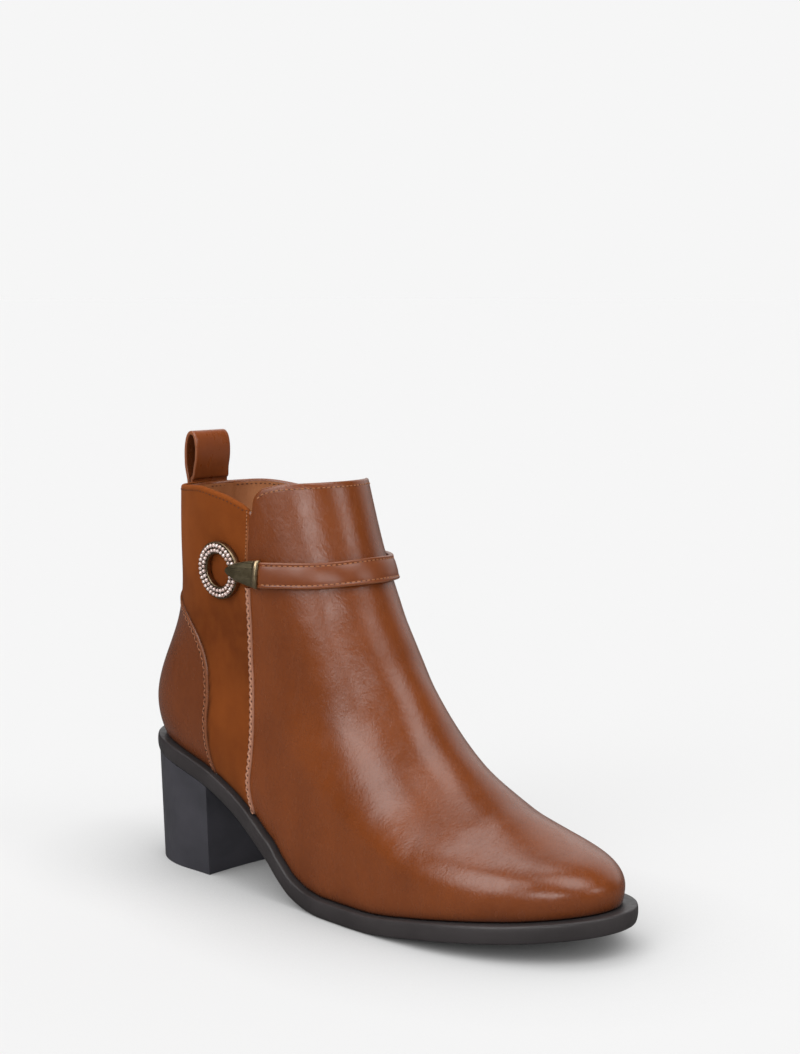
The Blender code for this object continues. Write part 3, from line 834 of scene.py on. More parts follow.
# The counter's leather is the tan leather made about 15 % darker, as painted shade
SHADED_COUNTER_LEATHER = leather_finish(
    "shaded_counter_leather", (0.119, 0.027, 0.0051), (0.153, 0.0365, 0.0072), (0.176, 0.048, 0.0116)
)
STRAP_LEATHER = leather_finish(
    "strap_leather", (0.145, 0.033, 0.0063), (0.182, 0.043, 0.0086), (0.21, 0.057, 0.0138),
    (0.27, 0.38), False
)
LOOP_LEATHER = leather_finish(
    "loop_leather", (0.185, 0.042, 0.0085), (0.255, 0.061, 0.014), (0.29, 0.08, 0.022), (0.24, 0.34), False
)
WELT_LEATHER = leather_finish(
    "seam_welt_leather", (0.27, 0.105, 0.056), (0.34, 0.14, 0.08), (0.4, 0.18, 0.11), (0.4, 0.55), False
)
SIDE_SUEDE = suede_finish("side_suede")
LINING = cloth_finish("collar_lining", (0.265, 0.09, 0.03), (0.365, 0.14, 0.053), (0.54, 0.68), 1.1)
SOCK = cloth_finish("sock_lining", (0.34, 0.16, 0.075), (0.44, 0.22, 0.11), (0.69, 0.83), 0.7)
PALE_THREAD = thread_finish("pale_thread", (0.36, 0.16, 0.09), (0.55, 0.3, 0.2))
COUNTER_THREAD = thread_finish("counter_thread", (0.24, 0.085, 0.036), (0.4, 0.165, 0.085))
TAN_THREAD = thread_finish("tan_thread", (0.28, 0.1, 0.036), (0.46, 0.2, 0.09))
# Dark thread standing for tan thread in shade: painted shade
SHADED_THREAD = thread_finish("shaded_thread", (0.04, 0.012, 0.004), (0.085, 0.024, 0.008))
# Dark blobs in the needle holes: painted shade inside them
NEEDLE_HOLE_SHADE = thread_finish("needle_hole_shade", (0.02, 0.006, 0.002), (0.05, 0.014, 0.005))
BLACK_RUBBER = rubber_finish("black_rubber", (0.0285, 0.0245, 0.0248), (0.0405, 0.035, 0.0355), (0.33, 0.48))
BLACK_HEEL = rubber_finish("black_heel", (0.04, 0.039, 0.046), (0.057, 0.055, 0.065), (0.3, 0.44))
AGED_BRASS = brass_finish("aged_brass", (0.27, 0.215, 0.125), (0.46, 0.375, 0.23), (0.26, 0.42), (6, 6, 0.3))
RING_BRASS = brass_finish("ring_brass", (0.20, 0.145, 0.085), (0.40, 0.30, 0.19), (0.25, 0.4), (2, 2, 0.4))
ROSE_CRYSTAL = crystal_finish("rose_crystal")


# Repeated details
THREAD_UNEVENNESS = 0.08
INSTANCE_INPUTS = {
    "Geometry": ("NodeSocketGeometry", None),
    "Length": ("NodeSocketFloat", 1.0),
    "Width": ("NodeSocketFloat", 1.0),
    "Height": ("NodeSocketFloat", 1.0),
    "Unevenness": ("NodeSocketFloat", THREAD_UNEVENNESS),
    "Seed": ("NodeSocketInt", 7),
    "Finish": ("NodeSocketMaterial", None),
}


def instance_tree(name, shape_kind, shape_values):
    """Sets one small shape on every point, turned to lie along the point's path on its surface."""
    tree = bpy.data.node_groups.new(name, "GeometryNodeTree")
    for label, (kind, default) in INSTANCE_INPUTS.items():
        socket = tree.interface.new_socket(label, in_out="INPUT", socket_type=kind)
        if default is not None:
            socket.default_value = default
    tree.interface.new_socket("Geometry", in_out="OUTPUT", socket_type="NodeSocketGeometry")
    add = partial(add_node, tree)

    def kept(field, kind="FLOAT_VECTOR"):
        return add("GeometryNodeInputNamedAttribute", {"Name": field}, data_type=kind)

    given = tree.nodes.new("NodeGroupInput").outputs
    shape = add(shape_kind, shape_values, output="Mesh")
    size = add("ShaderNodeCombineXYZ", {"X": given["Length"], "Y": given["Width"], "Z": given["Height"]})
    sized = add("GeometryNodeTransform", {"Geometry": shape, "Scale": size})
    rounded = add("GeometryNodeSetShadeSmooth", {"Geometry": sized})
    facing = add("FunctionNodeAlignRotationToVector", {"Vector": kept("out")}, axis="Z")
    turned = {"Rotation": facing, "Vector": kept("along")}
    turned = add("FunctionNodeAlignRotationToVector", turned, axis="X", pivot_axis="Z")
    lean = add("ShaderNodeCombineXYZ", {"Z": kept("lean", "FLOAT")})
    lean = add("FunctionNodeEulerToRotation", {"Euler": lean})
    turned = {"Rotation": turned, "Rotate By": lean}
    turned = add("FunctionNodeRotateRotation", turned, rotation_space="LOCAL")
    smallest = add("ShaderNodeMath", {0: 1.0, 1: given["Unevenness"]}, operation="SUBTRACT")
    largest = add("ShaderNodeMath", {0: 1.0, 1: given["Unevenness"]}, operation="ADD")
    uneven = {2: smallest, 3: largest, "Seed": given["Seed"]}
    uneven = add("FunctionNodeRandomValue", uneven, output=1, data_type="FLOAT")
    copies = {"Points": given["Geometry"], "Instance": rounded, "Rotation": turned, "Scale": uneven}
    copies = add("GeometryNodeInstanceOnPoints", copies)
    joined = add("GeometryNodeRealizeInstances", {"Geometry": copies})
    finished = add("GeometryNodeSetMaterial", {"Geometry": joined, "Material": given["Finish"]})
    tree.links.new(finished, tree.nodes.new("NodeGroupOutput").inputs[0])
    return tree


THREADS = instance_tree("thread_row", "GeometryNodeMeshUVSphere", {"Segments": 8, "Rings": 6, "Radius": 0.5})
CRYSTALS = instance_tree(
    "crystal_row",
    "GeometryNodeMeshCone",
    {"Vertices": 8, "Radius Top": 0.27, "Radius Bottom": 0.5, "Depth": 1.0},
)


def scatter(name, tree, points, out, along, lean, size, finish, slot, unevenness=THREAD_UNEVENNESS):
    """A row of small shapes at these points, as one piece. size is length, width and height."""
    mesh = bpy.data.meshes.new(name)
    mesh.from_pydata(to_world(points).tolist(), [], [])
    keep_values(mesh, "out", "FLOAT_VECTOR", out)
    keep_values(mesh, "along", "FLOAT_VECTOR", along)
    keep_values(mesh, "lean", "FLOAT", np.broadcast_to(lean, len(points)))
    piece = put_in_scene(name, mesh)
    modifier = piece.modifiers.new(name, "NODES")
    modifier.node_group = tree
    chosen = {"Length": size[0] * MM, "Width": size[1] * MM, "Height": size[2] * MM}
    chosen["Unevenness"] = unevenness
    chosen["Finish"] = finish
    for item in tree.interface.items_tree:
        if item.in_out == "INPUT" and item.name in chosen:
            modifier[item.identifier] = chosen[item.name]
    settled(piece)
    declare(piece, slot)


def along_path(points):
    return unit(np.gradient(points, axis=0))


# A stitch's share of its pitch, its height for its width, how high it lies, and its needle hole
STITCH_DASH = 0.7
STITCH_FLATNESS = 0.8
STITCH_LIFT = 0.05
HOLE_SHARE = 0.95
HOLE_HEIGHT = 0.16
HOLE_DROP = 0.02
# Crossing stitches: length for their reach, height for their width, and their holes' place and size
CROSS_LENGTH = 0.98
CROSS_FLATNESS = 0.85
CROSS_HOLE_OFFSET = 0.30
CROSS_HOLE_LIFT = 0.04
CROSS_HOLE = (0.8, 0.62, 0.3)


def sew(name, points, out, pitch, thread, finish, slot, holes=True, reach=STITCH_DASH):
    """A row of stitches through points that lie a pitch apart, with a needle hole between each two."""
    along = along_path(points)
    size = (pitch * reach, thread, thread * STITCH_FLATNESS)
    scatter(name, THREADS, points + out * STITCH_LIFT, out, along, 0.0, size, finish, slot)
    if holes:
        gaps = points + along * pitch / 2 + out * (STITCH_LIFT - HOLE_DROP)
        hole = (thread * HOLE_SHARE, thread * HOLE_SHARE, HOLE_HEIGHT)
        scatter(name + "_holes", THREADS, gaps, out, along, 0.0, hole, NEEDLE_HOLE_SHADE, slot)


def zigzag(name, points, out, sizes, finish, slot):
    """Stitches that cross from side to side of a seam, with needle holes where they turn."""
    pitch, width, thread = sizes
    along = along_path(points)
    across = np.cross(out, along)
    turn = np.where(np.arange(len(points)) % 2 == 0, 1.0, -1.0)
    lean = turn * math.atan2(width, pitch)
    size = (math.hypot(width, pitch) * CROSS_LENGTH, thread, thread * CROSS_FLATNESS)
    scatter(name, THREADS, points, out, along, lean, size, finish, slot)
    corner = points + along * pitch / 2 - across * (turn * width * CROSS_HOLE_OFFSET)[:, None]
    corner = corner + out * CROSS_HOLE_LIFT
    scatter(name + "_holes", THREADS, corner, out, along, 0.0, CROSS_HOLE, NEEDLE_HOLE_SHADE, slot)


# The upper
SIDE_STATIONS = 220
RING_LEVELS = 140
LINING_STATIONS = 110
LINING_LEVELS = 56
FOOT_SHADE_HEIGHT = 3.4
FOOT_SHADE_FADE = 2.2
# How pale the collar roll's crest is: a painted highlight
COLLAR_RIM = 0.35
COLLAR_ROLL_STEPS = 9
TURNED_IN = ((1.6, 0.2), (5.0, 0.35))


def foot_shade(h, t):
    """Painted shade: 1 where the upper meets the sole, fading out a little above it."""
    clear = skin(h, t)[..., 2] - skin(np.zeros_like(h), t)[..., 2]
    return np.exp(-np.maximum(clear, 0) / FOOT_SHADE_HEIGHT * FOOT_SHADE_FADE)


def make_shell():
    """Leather of the whole upper, turned in under the foot and rolled over at the collar."""
    around = np.arange(2 * SIDE_STATIONS) / SIDE_STATIONS
    levels = np.linspace(0, TOP_RING, RING_LEVELS)
    h, t = under_notch(levels, around)
    face, normal = on_upper(h, t, 0.0)
    none = np.zeros(len(around))
    flat = unit(normal[0] * (1, 1, 0))
    under = [face[0] - flat * inset - np.array((0, 0, drop)) for inset, drop in TURNED_IN[::-1]]
    up = unit(face[-1] - face[-2])
    radius = WALL / 2
    roll = []
    rim = [none] * (len(under) + RING_LEVELS)
    # The roll gets paler towards its crest: a painted highlight
    for angle in np.linspace(0, np.pi, COLLAR_ROLL_STEPS)[1:]:
        roll.append(face[-1] - normal[-1] * radius * (1 - math.cos(angle)) + up * radius * math.sin(angle))
        rim.append(none + COLLAR_RIM * math.sin(angle))
    rows = [*under, *face, *roll]
    # Painted shade: full on the rows turned in under the foot, fading out up from the sole
    shade = [none + 1] * len(under) + [*foot_shade(h, t)] + [none] * len(roll)
    chart = surface_chart(*under_notch(levels, np.concatenate([around, [2.0]])))
    chart = np.concatenate([chart[:1]] * len(TURNED_IN) + [chart] + [chart[-1:]] * (COLLAR_ROLL_STEPS - 1))
    mesh = grid_mesh("upper_leather", rows, wrap=True, chart=chart, foot_shade=shade, rim=rim)
    add_piece("upper_leather", mesh, TAN_LEATHER, "tan_leather", "upper")


LINING_SEAM = 1.88
LINING_SEAM_STEP = 0.7
LINING_SEAM_FADE = 0.03
LINING_SEAM_RINGS = (3, 7)


def make_lining():
    """Inner face of the upper, from the collar roll down to the insole, lapped at one seam."""
    around = np.arange(2 * LINING_STATIONS) / LINING_STATIONS
    levels = np.linspace(0, TOP_RING, LINING_LEVELS)
    h, t = under_notch(levels, around)
    lap = LINING_SEAM_STEP * np.where(t > LINING_SEAM, np.exp(-(t - LINING_SEAM) / LINING_SEAM_FADE), 0)
    rows = lifted(h, t, -WALL - lap * ease(h, *LINING_SEAM_RINGS))[0]
    mesh = grid_mesh("collar_lining", rows, wrap=True, flip=True)
    add_piece("collar_lining", mesh, LINING, "sock_lining")


def suede_front_t(h):
    """Where the suede panel's front edge crosses each ring."""

    def behind(t):
        here = skin(h, t)
        return here[:, 0] < read(SUEDE_FRONT, "x", here[:, 2])

    low, high = SUEDE_FRONT_SEARCH
    return halved(np.full(len(h), low), np.full(len(h), high), behind)


def suede_outline(samples):
    """(h, t) along the panel's free edge, from the back of the collar, round the corner, to the sole."""
    top_t = np.linspace(0, suede_front_t(np.array([TOP_RING - SUEDE_CORNER_RINGS]))[0], EDGE_SAMPLES)
    top_h = TOP_RING - suede_drop(top_t)
    front_h = np.linspace(top_h[-1], 0, EDGE_SAMPLES)[1:]
    h = np.concatenate([top_h, front_h])
    t = np.concatenate([top_t, suede_front_t(front_h)])
    return evenly(h, t, samples)


def suede_corner(edge):
    """Number of the outline's point at the panel's upper front corner."""
    return np.argmax(edge[:, 0] * (edge[:, 2] > SUEDE_FRONT["z"][-2]))


def under_counter(points):
    """1 where the heel counter covers the suede."""
    edge = read(COUNTER_EDGE, "x", points[..., 2])
    return ease(edge - points[..., 0], *COUNTER_COVER) * (1 - ease(points[..., 2], *COUNTER_COVER_TOP))


def edge_shares(size, count):
    """Shares from 0 to 1 across a panel of this size, set closer together at its free edge."""
    fine = 1 - np.array(PANEL_ROWS[::-1]) / size
    return np.concatenate([np.linspace(0, fine[0], count)[:-1], fine])


SUEDE_SAMPLES = 460
# How the suede's edge is rounded over, pressed under the counter and tucked in, and how far its paler rim, a
# painted highlight, reaches
SUEDE_EDGE_ROUND = 0.5
SUEDE_PRESSED = 0.85
SUEDE_TUCK = 0.2
SUEDE_TUCK_REACH = 0.1
SUEDE_RIM_REACH = 0.42
SUEDE_ROLL = (0.35, 0.7, 1.05, 1.4, 1.75, 2.1)
# Painted highlight added on the suede's rolled top edge
SUEDE_ROLL_PAINTED_LIGHT = 0.3
SUEDE_RIM_END = (0.965, 0.99)
PANEL_ROWS = (0, 0.12, 0.25, 0.4, 0.6, 0.85, 1.2, 1.7, 2.4, 3.4, 5)
PANEL_INNER_ROWS = 44


def panel_rows(edge_h, edge_t, core_h, core_t):
    """Rows of (h, t) from a panel's free edge, first at set distances in from it, then to its core line."""
    edge = skin(edge_h, edge_t)
    out = skin_normal(edge_h, edge_t)
    inward = np.cross(along_path(edge), out)
    middle = skin(core_h, core_t)
    if ((middle - edge) * inward).sum() < 0:
        inward = -inward
    room = np.linalg.norm(middle - edge, axis=-1)
    rows = []
    for distance in PANEL_ROWS:
        step = np.minimum(distance, room * distance / (PANEL_ROWS[-1] * 2))
        rows.append(shifted(edge_h, edge_t, inward * step[:, None]))
    last_h, last_t = rows[-1]
    for share in np.linspace(0, 1, PANEL_INNER_ROWS)[1:]:
        rows.append((last_h + (core_h - last_h) * share, last_t + (core_t - last_t) * share))
    return np.array([row[0] for row in rows]), np.array([row[1] for row in rows])


def make_suede_panel():
    """Suede over the outer side, from the back seam to the front seam and up to the collar."""
    across = edge_shares(SUEDE_SIZE[0], SUEDE_DIVISIONS[0])
    rise = edge_shares(SUEDE_SIZE[1], SUEDE_DIVISIONS[1])
    v, u = np.meshgrid(rise, across, indexing="ij")
    h = v * TOP_RING
    for _ in range(SUEDE_SETTLING):
        t = u * suede_front_t(h.ravel()).reshape(h.shape)
        h = v * (TOP_RING - suede_drop(t))
    points = skin(h, t)
    edge = skin(*suede_outline(SUEDE_SAMPLES))
    away = nearest_distance(points, edge[suede_corner(edge) :])
    lift = SUEDE_LIFT * quarter_round(away / SUEDE_EDGE_ROUND) * (1 - SUEDE_PRESSED * under_counter(points))
    lift = lift - SUEDE_TUCK * (away < SUEDE_TUCK_REACH)
    rows, out = on_upper(h, t, lift)
    rows = list(rows)
    up = unit(skin_slopes(h[-1], t[-1])[0])
    radius = WALL / 2
    core = rows[-1] - out[-1] * (radius + lift[-1])[:, None]
    for angle in SUEDE_ROLL:
        turned = out[-1] * math.cos(angle) + up * math.sin(angle)
        rows.append(core + turned * (radius + lift[-1])[:, None])

    def over_roll(values):
        return np.concatenate([values] + [values[-1:]] * len(SUEDE_ROLL))

    # Paler rim along the free edge: a painted highlight, fading out near the top
    rim = over_roll(np.exp(-((away / SUEDE_RIM_REACH) ** 2)) * (1 - ease(v, *SUEDE_RIM_END)))
    # Painted shadow beside the counter's raised edge, and painted shade at the sole
    along_counter = nearest_distance(points, skin(*counter_outline(COUNTER_SAMPLES)))
    shadow_line = COUNTER_SHADOW_LINE["dark"] * np.exp(-((along_counter / COUNTER_SHADOW_LINE["reach"]) ** 2))
    shade = over_roll(np.maximum(foot_shade(h, t), shadow_line))
    # Painted light and shade by height, lighter still on the rolled top edge
    painted_light = over_roll(read(SUEDE_PAINTED_LIGHT, "light", points[..., 2]))
    painted_light[-len(SUEDE_ROLL) - 1 :] += SUEDE_ROLL_PAINTED_LIGHT
    fields = {"foot_shade": shade, "rim": rim, "painted_light": painted_light}
    mesh = grid_mesh("suede_side_panel", rows, chart=over_roll(surface_chart(h, t)), **fields)
    add_piece("suede_side_panel", mesh, SIDE_SUEDE, "tan_leather")


def counter_outline(samples):
    """(h, t) along the counter's edge on the outer side, from its peak on the back seam down to the sole."""
    lead_count, count, foot_count = COUNTER_PARTS
    z = np.linspace(COUNTER_EDGE["z"][-1], COUNTER_EDGE["z"][0], count)
    x = read(COUNTER_EDGE, "x", z)
    h, t = outer_place(x, z)
    peak = ring_at_height(np.array([0.0]), COUNTER_EDGE["z"][-1] + COUNTER_PEAK_RISE)[0]
    lead = np.linspace(0, 1, lead_count, endpoint=False)
    lead_t = t[0] * lead
    lead_h = peak + (h[0] - peak) * lead**2
    foot_h = np.linspace(h[-1], 0, foot_count + 1)[1:]
    h = np.concatenate([lead_h, h, foot_h])
    t = np.concatenate([lead_t, t, np.full(foot_count, t[-1])])
    return evenly(h, t, samples)


COUNTER_SAMPLES = 220


def make_counter():
    """Leather cup round the heel, with a folded edge, the same on both sides."""
    h, t = counter_outline(COUNTER_SAMPLES)
    core_h = np.linspace(h[0], 0, COUNTER_SAMPLES)
    outer_h, outer_t = panel_rows(h, t, core_h, np.zeros(COUNTER_SAMPLES))
    rows_h = np.concatenate([outer_h, outer_h[-2::-1]])
    rows_t = np.concatenate([outer_t, 2 - outer_t[-2::-1]])
    points = skin(rows_h, rows_t)
    edges = np.concatenate([skin(h, t)[::2], skin(h, 2 - t)[::2]])
    away = nearest_distance(points, edges)
    lift = read(COUNTER_LIFT, "lift", away)
    rows = lifted(rows_h, rows_t, lift)[0]
    # Paler rim along the folded edge: a painted highlight; painted shade at the sole
    rim = np.exp(-(((away - COUNTER_RIM_PLACE) / COUNTER_RIM_REACH) ** 2)) * COUNTER_RIM_HIGHLIGHT
    chart = surface_chart(rows_h, np.clip(rows_t, 0, 2))
    shade = foot_shade(rows_h, rows_t)
    mesh = grid_mesh("heel_counter", rows, flip=True, chart=chart, foot_shade=shade, rim=rim)
    add_piece("heel_counter", merged(mesh), SHADED_COUNTER_LEATHER, "tan_leather")


# Seams and stitches on the upper
COLLAR_ROW_DEPTH = 1.4
LINING_ROW_DEPTH = 1.1
COLLAR_PITCH = 2.2
COLLAR_THREAD = 0.48
DARK_DASH = 0.5
LEATHER_ROW_START = 0.03
LINING_ROW_START = 0.01
COLLAR_ROW_END = 1.985
COLLAR_ROW_SAMPLES = 900
SUEDE_ROW_DEPTH = 0.9
SUEDE_FRONT_ROW = 0.9
SUEDE_FRONT_PITCH = 1.6
BRAID_TOP_HEIGHT = 133.0
BRAID_LIFT = 1.0
COUNTER_ROW = 2.7
COUNTER_ROW_LIFT = 0.1
# Pitch, reach across and thread of the crossing stitches
BRAID_CROSS = (1.62, 2.1, 0.75)
COUNTER_CROSS = (2.0, 1.1, 0.6)
# The welt's steps along the seam, its place on the leather, its size, and how far and finely it is round
WELT_STEP = 1.0
WELT_SEAT = 0.25
WELT_WIDTH = 2.6
WELT_HEIGHT = 0.85
WELT_WRAP = 0.35
WELT_POINTS = 13


def sew_collar(name, points, out, pitch, thread, slot):
    """One row of collar stitches. Dark thread, which is painted shade on tan stitches, lies in short dashes
    that hide their needle holes.
    """
    dark = thread is SHADED_THREAD
    reach = DARK_DASH if dark else STITCH_DASH
    sew(name, points, out, pitch, COLLAR_THREAD, thread, slot, not dark, reach)


def make_collar_stitches():
    """Stitch rows round the collar: along the suede's edges, on the leather, and on the lining inside."""
    h, t = suede_outline(SUEDE_SAMPLES)
    edge = skin(h, t)
    inward = inward_from(h, t, skin(*SUEDE_CORE))
    corner = suede_corner(edge)
    strap_top = strap_height(SUEDE_FRONT["x"][-1]) + STRAP_WIDTH / 2
    front = (np.arange(len(h)) > corner) & (edge[:, 2] > strap_top)
    rows = {
        "suede_collar_stitches": (np.arange(len(h)) <= corner, SUEDE_ROW_DEPTH, COLLAR_PITCH, SHADED_THREAD),
        "suede_front_stitches": (front, SUEDE_FRONT_ROW, SUEDE_FRONT_PITCH, TAN_THREAD),
    }
    for name, (kept, depth, pitch, thread) in rows.items():
        row_h, row_t = paced(*shifted(h[kept], t[kept], inward[kept] * depth), pitch)
        points, out = on_upper(row_h, row_t, SUEDE_LIFT)
        sew_collar(name, points, out, pitch, thread, "tan_leather")
    start = t[corner] + LEATHER_ROW_START
    rows = {
        "leather_collar_stitches": (start, COLLAR_ROW_DEPTH, 0.0, 1, TAN_THREAD, "tan_leather"),
        "lining_collar_stitches": (LINING_ROW_START, LINING_ROW_DEPTH, WALL, -1, SHADED_THREAD, "sock_lining"),
    }
    for name, (start, below, depth, side, thread, slot) in rows.items():
        row_t = np.linspace(start, COLLAR_ROW_END, COLLAR_ROW_SAMPLES)
        row_h = TOP_RING - collar_notch(row_t) - below / ring_height_size(row_t)
        points, out = on_upper(*paced(row_h, row_t, COLLAR_PITCH), -depth)
        sew_collar(name, points, out * side, COLLAR_PITCH, thread, slot)


def make_seam_braid():
    """Raised welt over the suede's front edge below the strap, sewn down with crossing thread."""
    h, t = suede_outline(SUEDE_SAMPLES)
    edge = skin(h, t)
    low = (np.arange(len(h)) > suede_corner(edge)) & (edge[:, 2] < BRAID_TOP_HEIGHT)
    h, t = paced(h[low], t[low], WELT_STEP)
    centre, out = on_upper(h, t, WELT_SEAT)
    across = np.cross(out, along_path(centre))
    rows = []
    for angle in np.linspace(-WELT_WRAP, np.pi + WELT_WRAP, WELT_POINTS):
        side, rise = math.cos(angle) * WELT_WIDTH / 2, math.sin(angle) * WELT_HEIGHT
        rows.append(centre + across * side + out * rise)
    # Painted shade near the sole
    shade = [foot_shade(h, t)] * WELT_POINTS
    mesh = grid_mesh("seam_welt", rows, flip=True, foot_shade=shade, rim=np.zeros_like(shade))
    add_piece("seam_welt", mesh, WELT_LEATHER, "tan_leather")
    points, out = on_upper(*paced(h, t, BRAID_CROSS[0]), BRAID_LIFT)
    zigzag("seam_braid", points, out, BRAID_CROSS, PALE_THREAD, "tan_leather")


def make_counter_stitches():
    """Crossing stitches that follow the counter's folded edge on both sides."""
    h, t = counter_outline(COUNTER_SAMPLES)
    h, t = shifted(h, t, inward_from(h, t, skin(*COUNTER_CORE)) * COUNTER_ROW)
    h, t = paced(h, t, COUNTER_CROSS[0])
    lift = read(COUNTER_LIFT, "lift", COUNTER_ROW) + COUNTER_ROW_LIFT
    for side, places in (("outer", t), ("inner", 2 - t)):
        points, out = lifted(h, places, lift)
        zigzag("counter_stitches_" + side, points, out, COUNTER_CROSS, COUNTER_THREAD, "tan_leather")


# Strap, ring, tip and loop
STRAP_STATIONS = 170
STRAP_SETTLING = 10
STRAP_EVENING = 26
STRAP_SECTION = {
    "offset": (-0.9, 0.9, 0.985, 1.0, 1.0, 0.97, 0.9, 0.82, 0.74, 0.66, 0.4, 0.0),
    "height": (0.0, 0.0, 0.15, 0.6, 1.5, 2.0, 2.25, 2.2, 1.98, 2.1, 2.3, 2.35),
}
STRAP_STITCH_OFFSET = 0.74
STRAP_PITCH = 2.3
STRAP_THREAD = 0.5
# How pale the strap's edge is, and beyond which offset and height
STRAP_WORN = 0.8
STRAP_WORN_OFFSET = 0.93
STRAP_WORN_HEIGHT = 1
STRAP_CHART_STEP = 0.01


def strap_height(x):
    return read(STRAP_LINE, "z", x)


def strap_line(offset):
    """Points under the strap at one distance from its middle, with their outward directions."""
    outer_end = outer_place(STRAP_OUTER_END, strap_height(STRAP_OUTER_END) + offset)[1][0]
    inner_end = outer_place(STRAP_INNER_END, strap_height(STRAP_INNER_END) + offset)[1][0]
    share = np.linspace(0, 1, STRAP_STATIONS)
    around = outer_end + (2 - inner_end - outer_end) * share
    height = np.full(len(around), strap_height(STRAP_OUTER_END))
    for _ in range(STRAP_SETTLING):
        h = ring_at_height(around, height)
        height = evened(strap_height(skin(h, around)[:, 0]), STRAP_EVENING) + offset
    lift = STRAP_LIFT + (TIP_BLUNT_LIFT - STRAP_LIFT) * (1 - ease(share, 0, STRAP_RISE))
    return lifted(h, around, lift)


def make_strap():
    """Leather strap with raised edges, and a stitch row along each of them."""
    offset = STRAP_SECTION["offset"] + tuple(-value for value in STRAP_SECTION["offset"][-2:1:-1])
    height = STRAP_SECTION["height"] + STRAP_SECTION["height"][-2:1:-1]
    lines = {value: strap_line(value * STRAP_WIDTH / 2) for value in sorted(set(offset))}
    rows = np.array([lines[o][0] + lines[o][1] * z for o, z in zip(offset, height)])
    toned = (np.abs(offset) > STRAP_WORN_OFFSET) & (np.array(height) > STRAP_WORN_HEIGHT)
    rim = np.tile(STRAP_WORN * toned, (STRAP_STATIONS, 1))
    length = run_along(rows[0]) / CHART_UNIT
    stations = np.swapaxes(rows, 0, 1)
    across = np.cumsum([0.0] + [STRAP_CHART_STEP] * len(offset))
    chart = together(*np.meshgrid(length, across, indexing="ij")[::-1])
    fields = {"foot_shade": np.zeros_like(rim), "rim": rim}
    mesh = grid_mesh("ankle_strap_leather", stations, wrap=True, chart=chart, caps=one_face, **fields)
    add_piece("ankle_strap_leather", mesh, STRAP_LEATHER, "strap_leather", "ankle_strap")
    for side, sign in (("upper", 1), ("lower", -1)):
        base, out = strap_line(sign * STRAP_STITCH_OFFSET * STRAP_WIDTH / 2)
        base = base + out * height[offset.index(STRAP_STITCH_OFFSET)]
        run = run_along(base)
        marks = np.arange(STRAP_PITCH, run[-1] - STRAP_PITCH, STRAP_PITCH)
        points = together(*at_marks(marks, run, *base.T))
        facing = unit(together(*at_marks(marks, run, *out.T)))
        sew("strap_stitches_" + side, points, facing, STRAP_PITCH, STRAP_THREAD, TAN_THREAD, "strap_leather")


RING_SECTION = {
    "radius": (
        7.5, 7.15, 7.1, 7.1, 7.22, 7.45, 7.75, 9.6, 9.72, 9.84, 11.7, 12.0, 12.2, 12.3, 12.3, 12.2, 11.9
    ),
    "height": (
        -1.5, -1.3, -0.8, 0.7, 1.1, 1.25, 0.95, 0.95, 1.1, 0.95, 0.95, 1.25, 1.15, 0.8, -0.8, -1.3, -1.5
    ),
}
RING_SEGMENTS = 120
CRYSTAL_ROWS = {
    "row": ("inner", "outer"),
    "radius": (8.65, 10.7),
    "count": (27, 34),
    "size": (1.95, 2.0),
    "seat": (1.35, 1.35),
}
CRYSTAL_HEIGHT = 0.9
CRYSTAL_TURN = 5
CRYSTAL_UNEVENNESS = 0.06


def circle(count, radius, height):
    """Points round a circle at a height, and their angles."""
    turns = np.linspace(0, 2 * np.pi, count, endpoint=False)
    return together(radius * np.cos(turns), radius * np.sin(turns), height), turns


def make_ring():
    """Metal ring with two channels of crystals on its face."""
    centre, out = lifted(*outer_place(*RING_CENTRE), RING_STAND_OFF)
    matrix = plate_frame(centre[0], (1, 0, 0), out[0])
    section = list(zip(RING_SECTION["radius"], RING_SECTION["height"]))
    rows = [placed(circle(RING_SEGMENTS, *corner)[0], matrix) for corner in section + section[:1]]
    mesh = grid_mesh("buckle_ring_metal", rows, wrap=True, flip=True)
    add_piece("buckle_ring_metal", mesh, RING_BRASS, "ring_metal", "buckle_ring")
    for name, radius, count, size, seat in zip(*CRYSTAL_ROWS.values()):
        flat, turns = circle(count, radius, seat)
        points = placed(flat, matrix)
        facing = np.tile(out, (count, 1))
        cut = (size, size, CRYSTAL_HEIGHT)
        turned = (facing, along_path(points), turns * CRYSTAL_TURN)
        looks = (ROSE_CRYSTAL, "ring_metal", CRYSTAL_UNEVENNESS)
        scatter("crystals_" + name, CRYSTALS, points, *turned, cut, *looks)


TIP_STATIONS = 48
TIP_END = 0.9995
# Places from the tip's middle to its edge
TIP_ACROSS = (0, 0.3, 0.6, 0.85, 0.94, 0.985, 1)
TIP_DOME = 0.9
# How the dome falls away along the tip and across it
TIP_DOME_POWERS = (4, 3)
TIP_EDGE_DROP = 0.45
TIP_EDGE_FROM = 0.9
# Where the bar rises and where it falls
TIP_BAR = ((0.4, 0.75), (2.35, 2.7))
TIP_BAR_RISE = 0.6


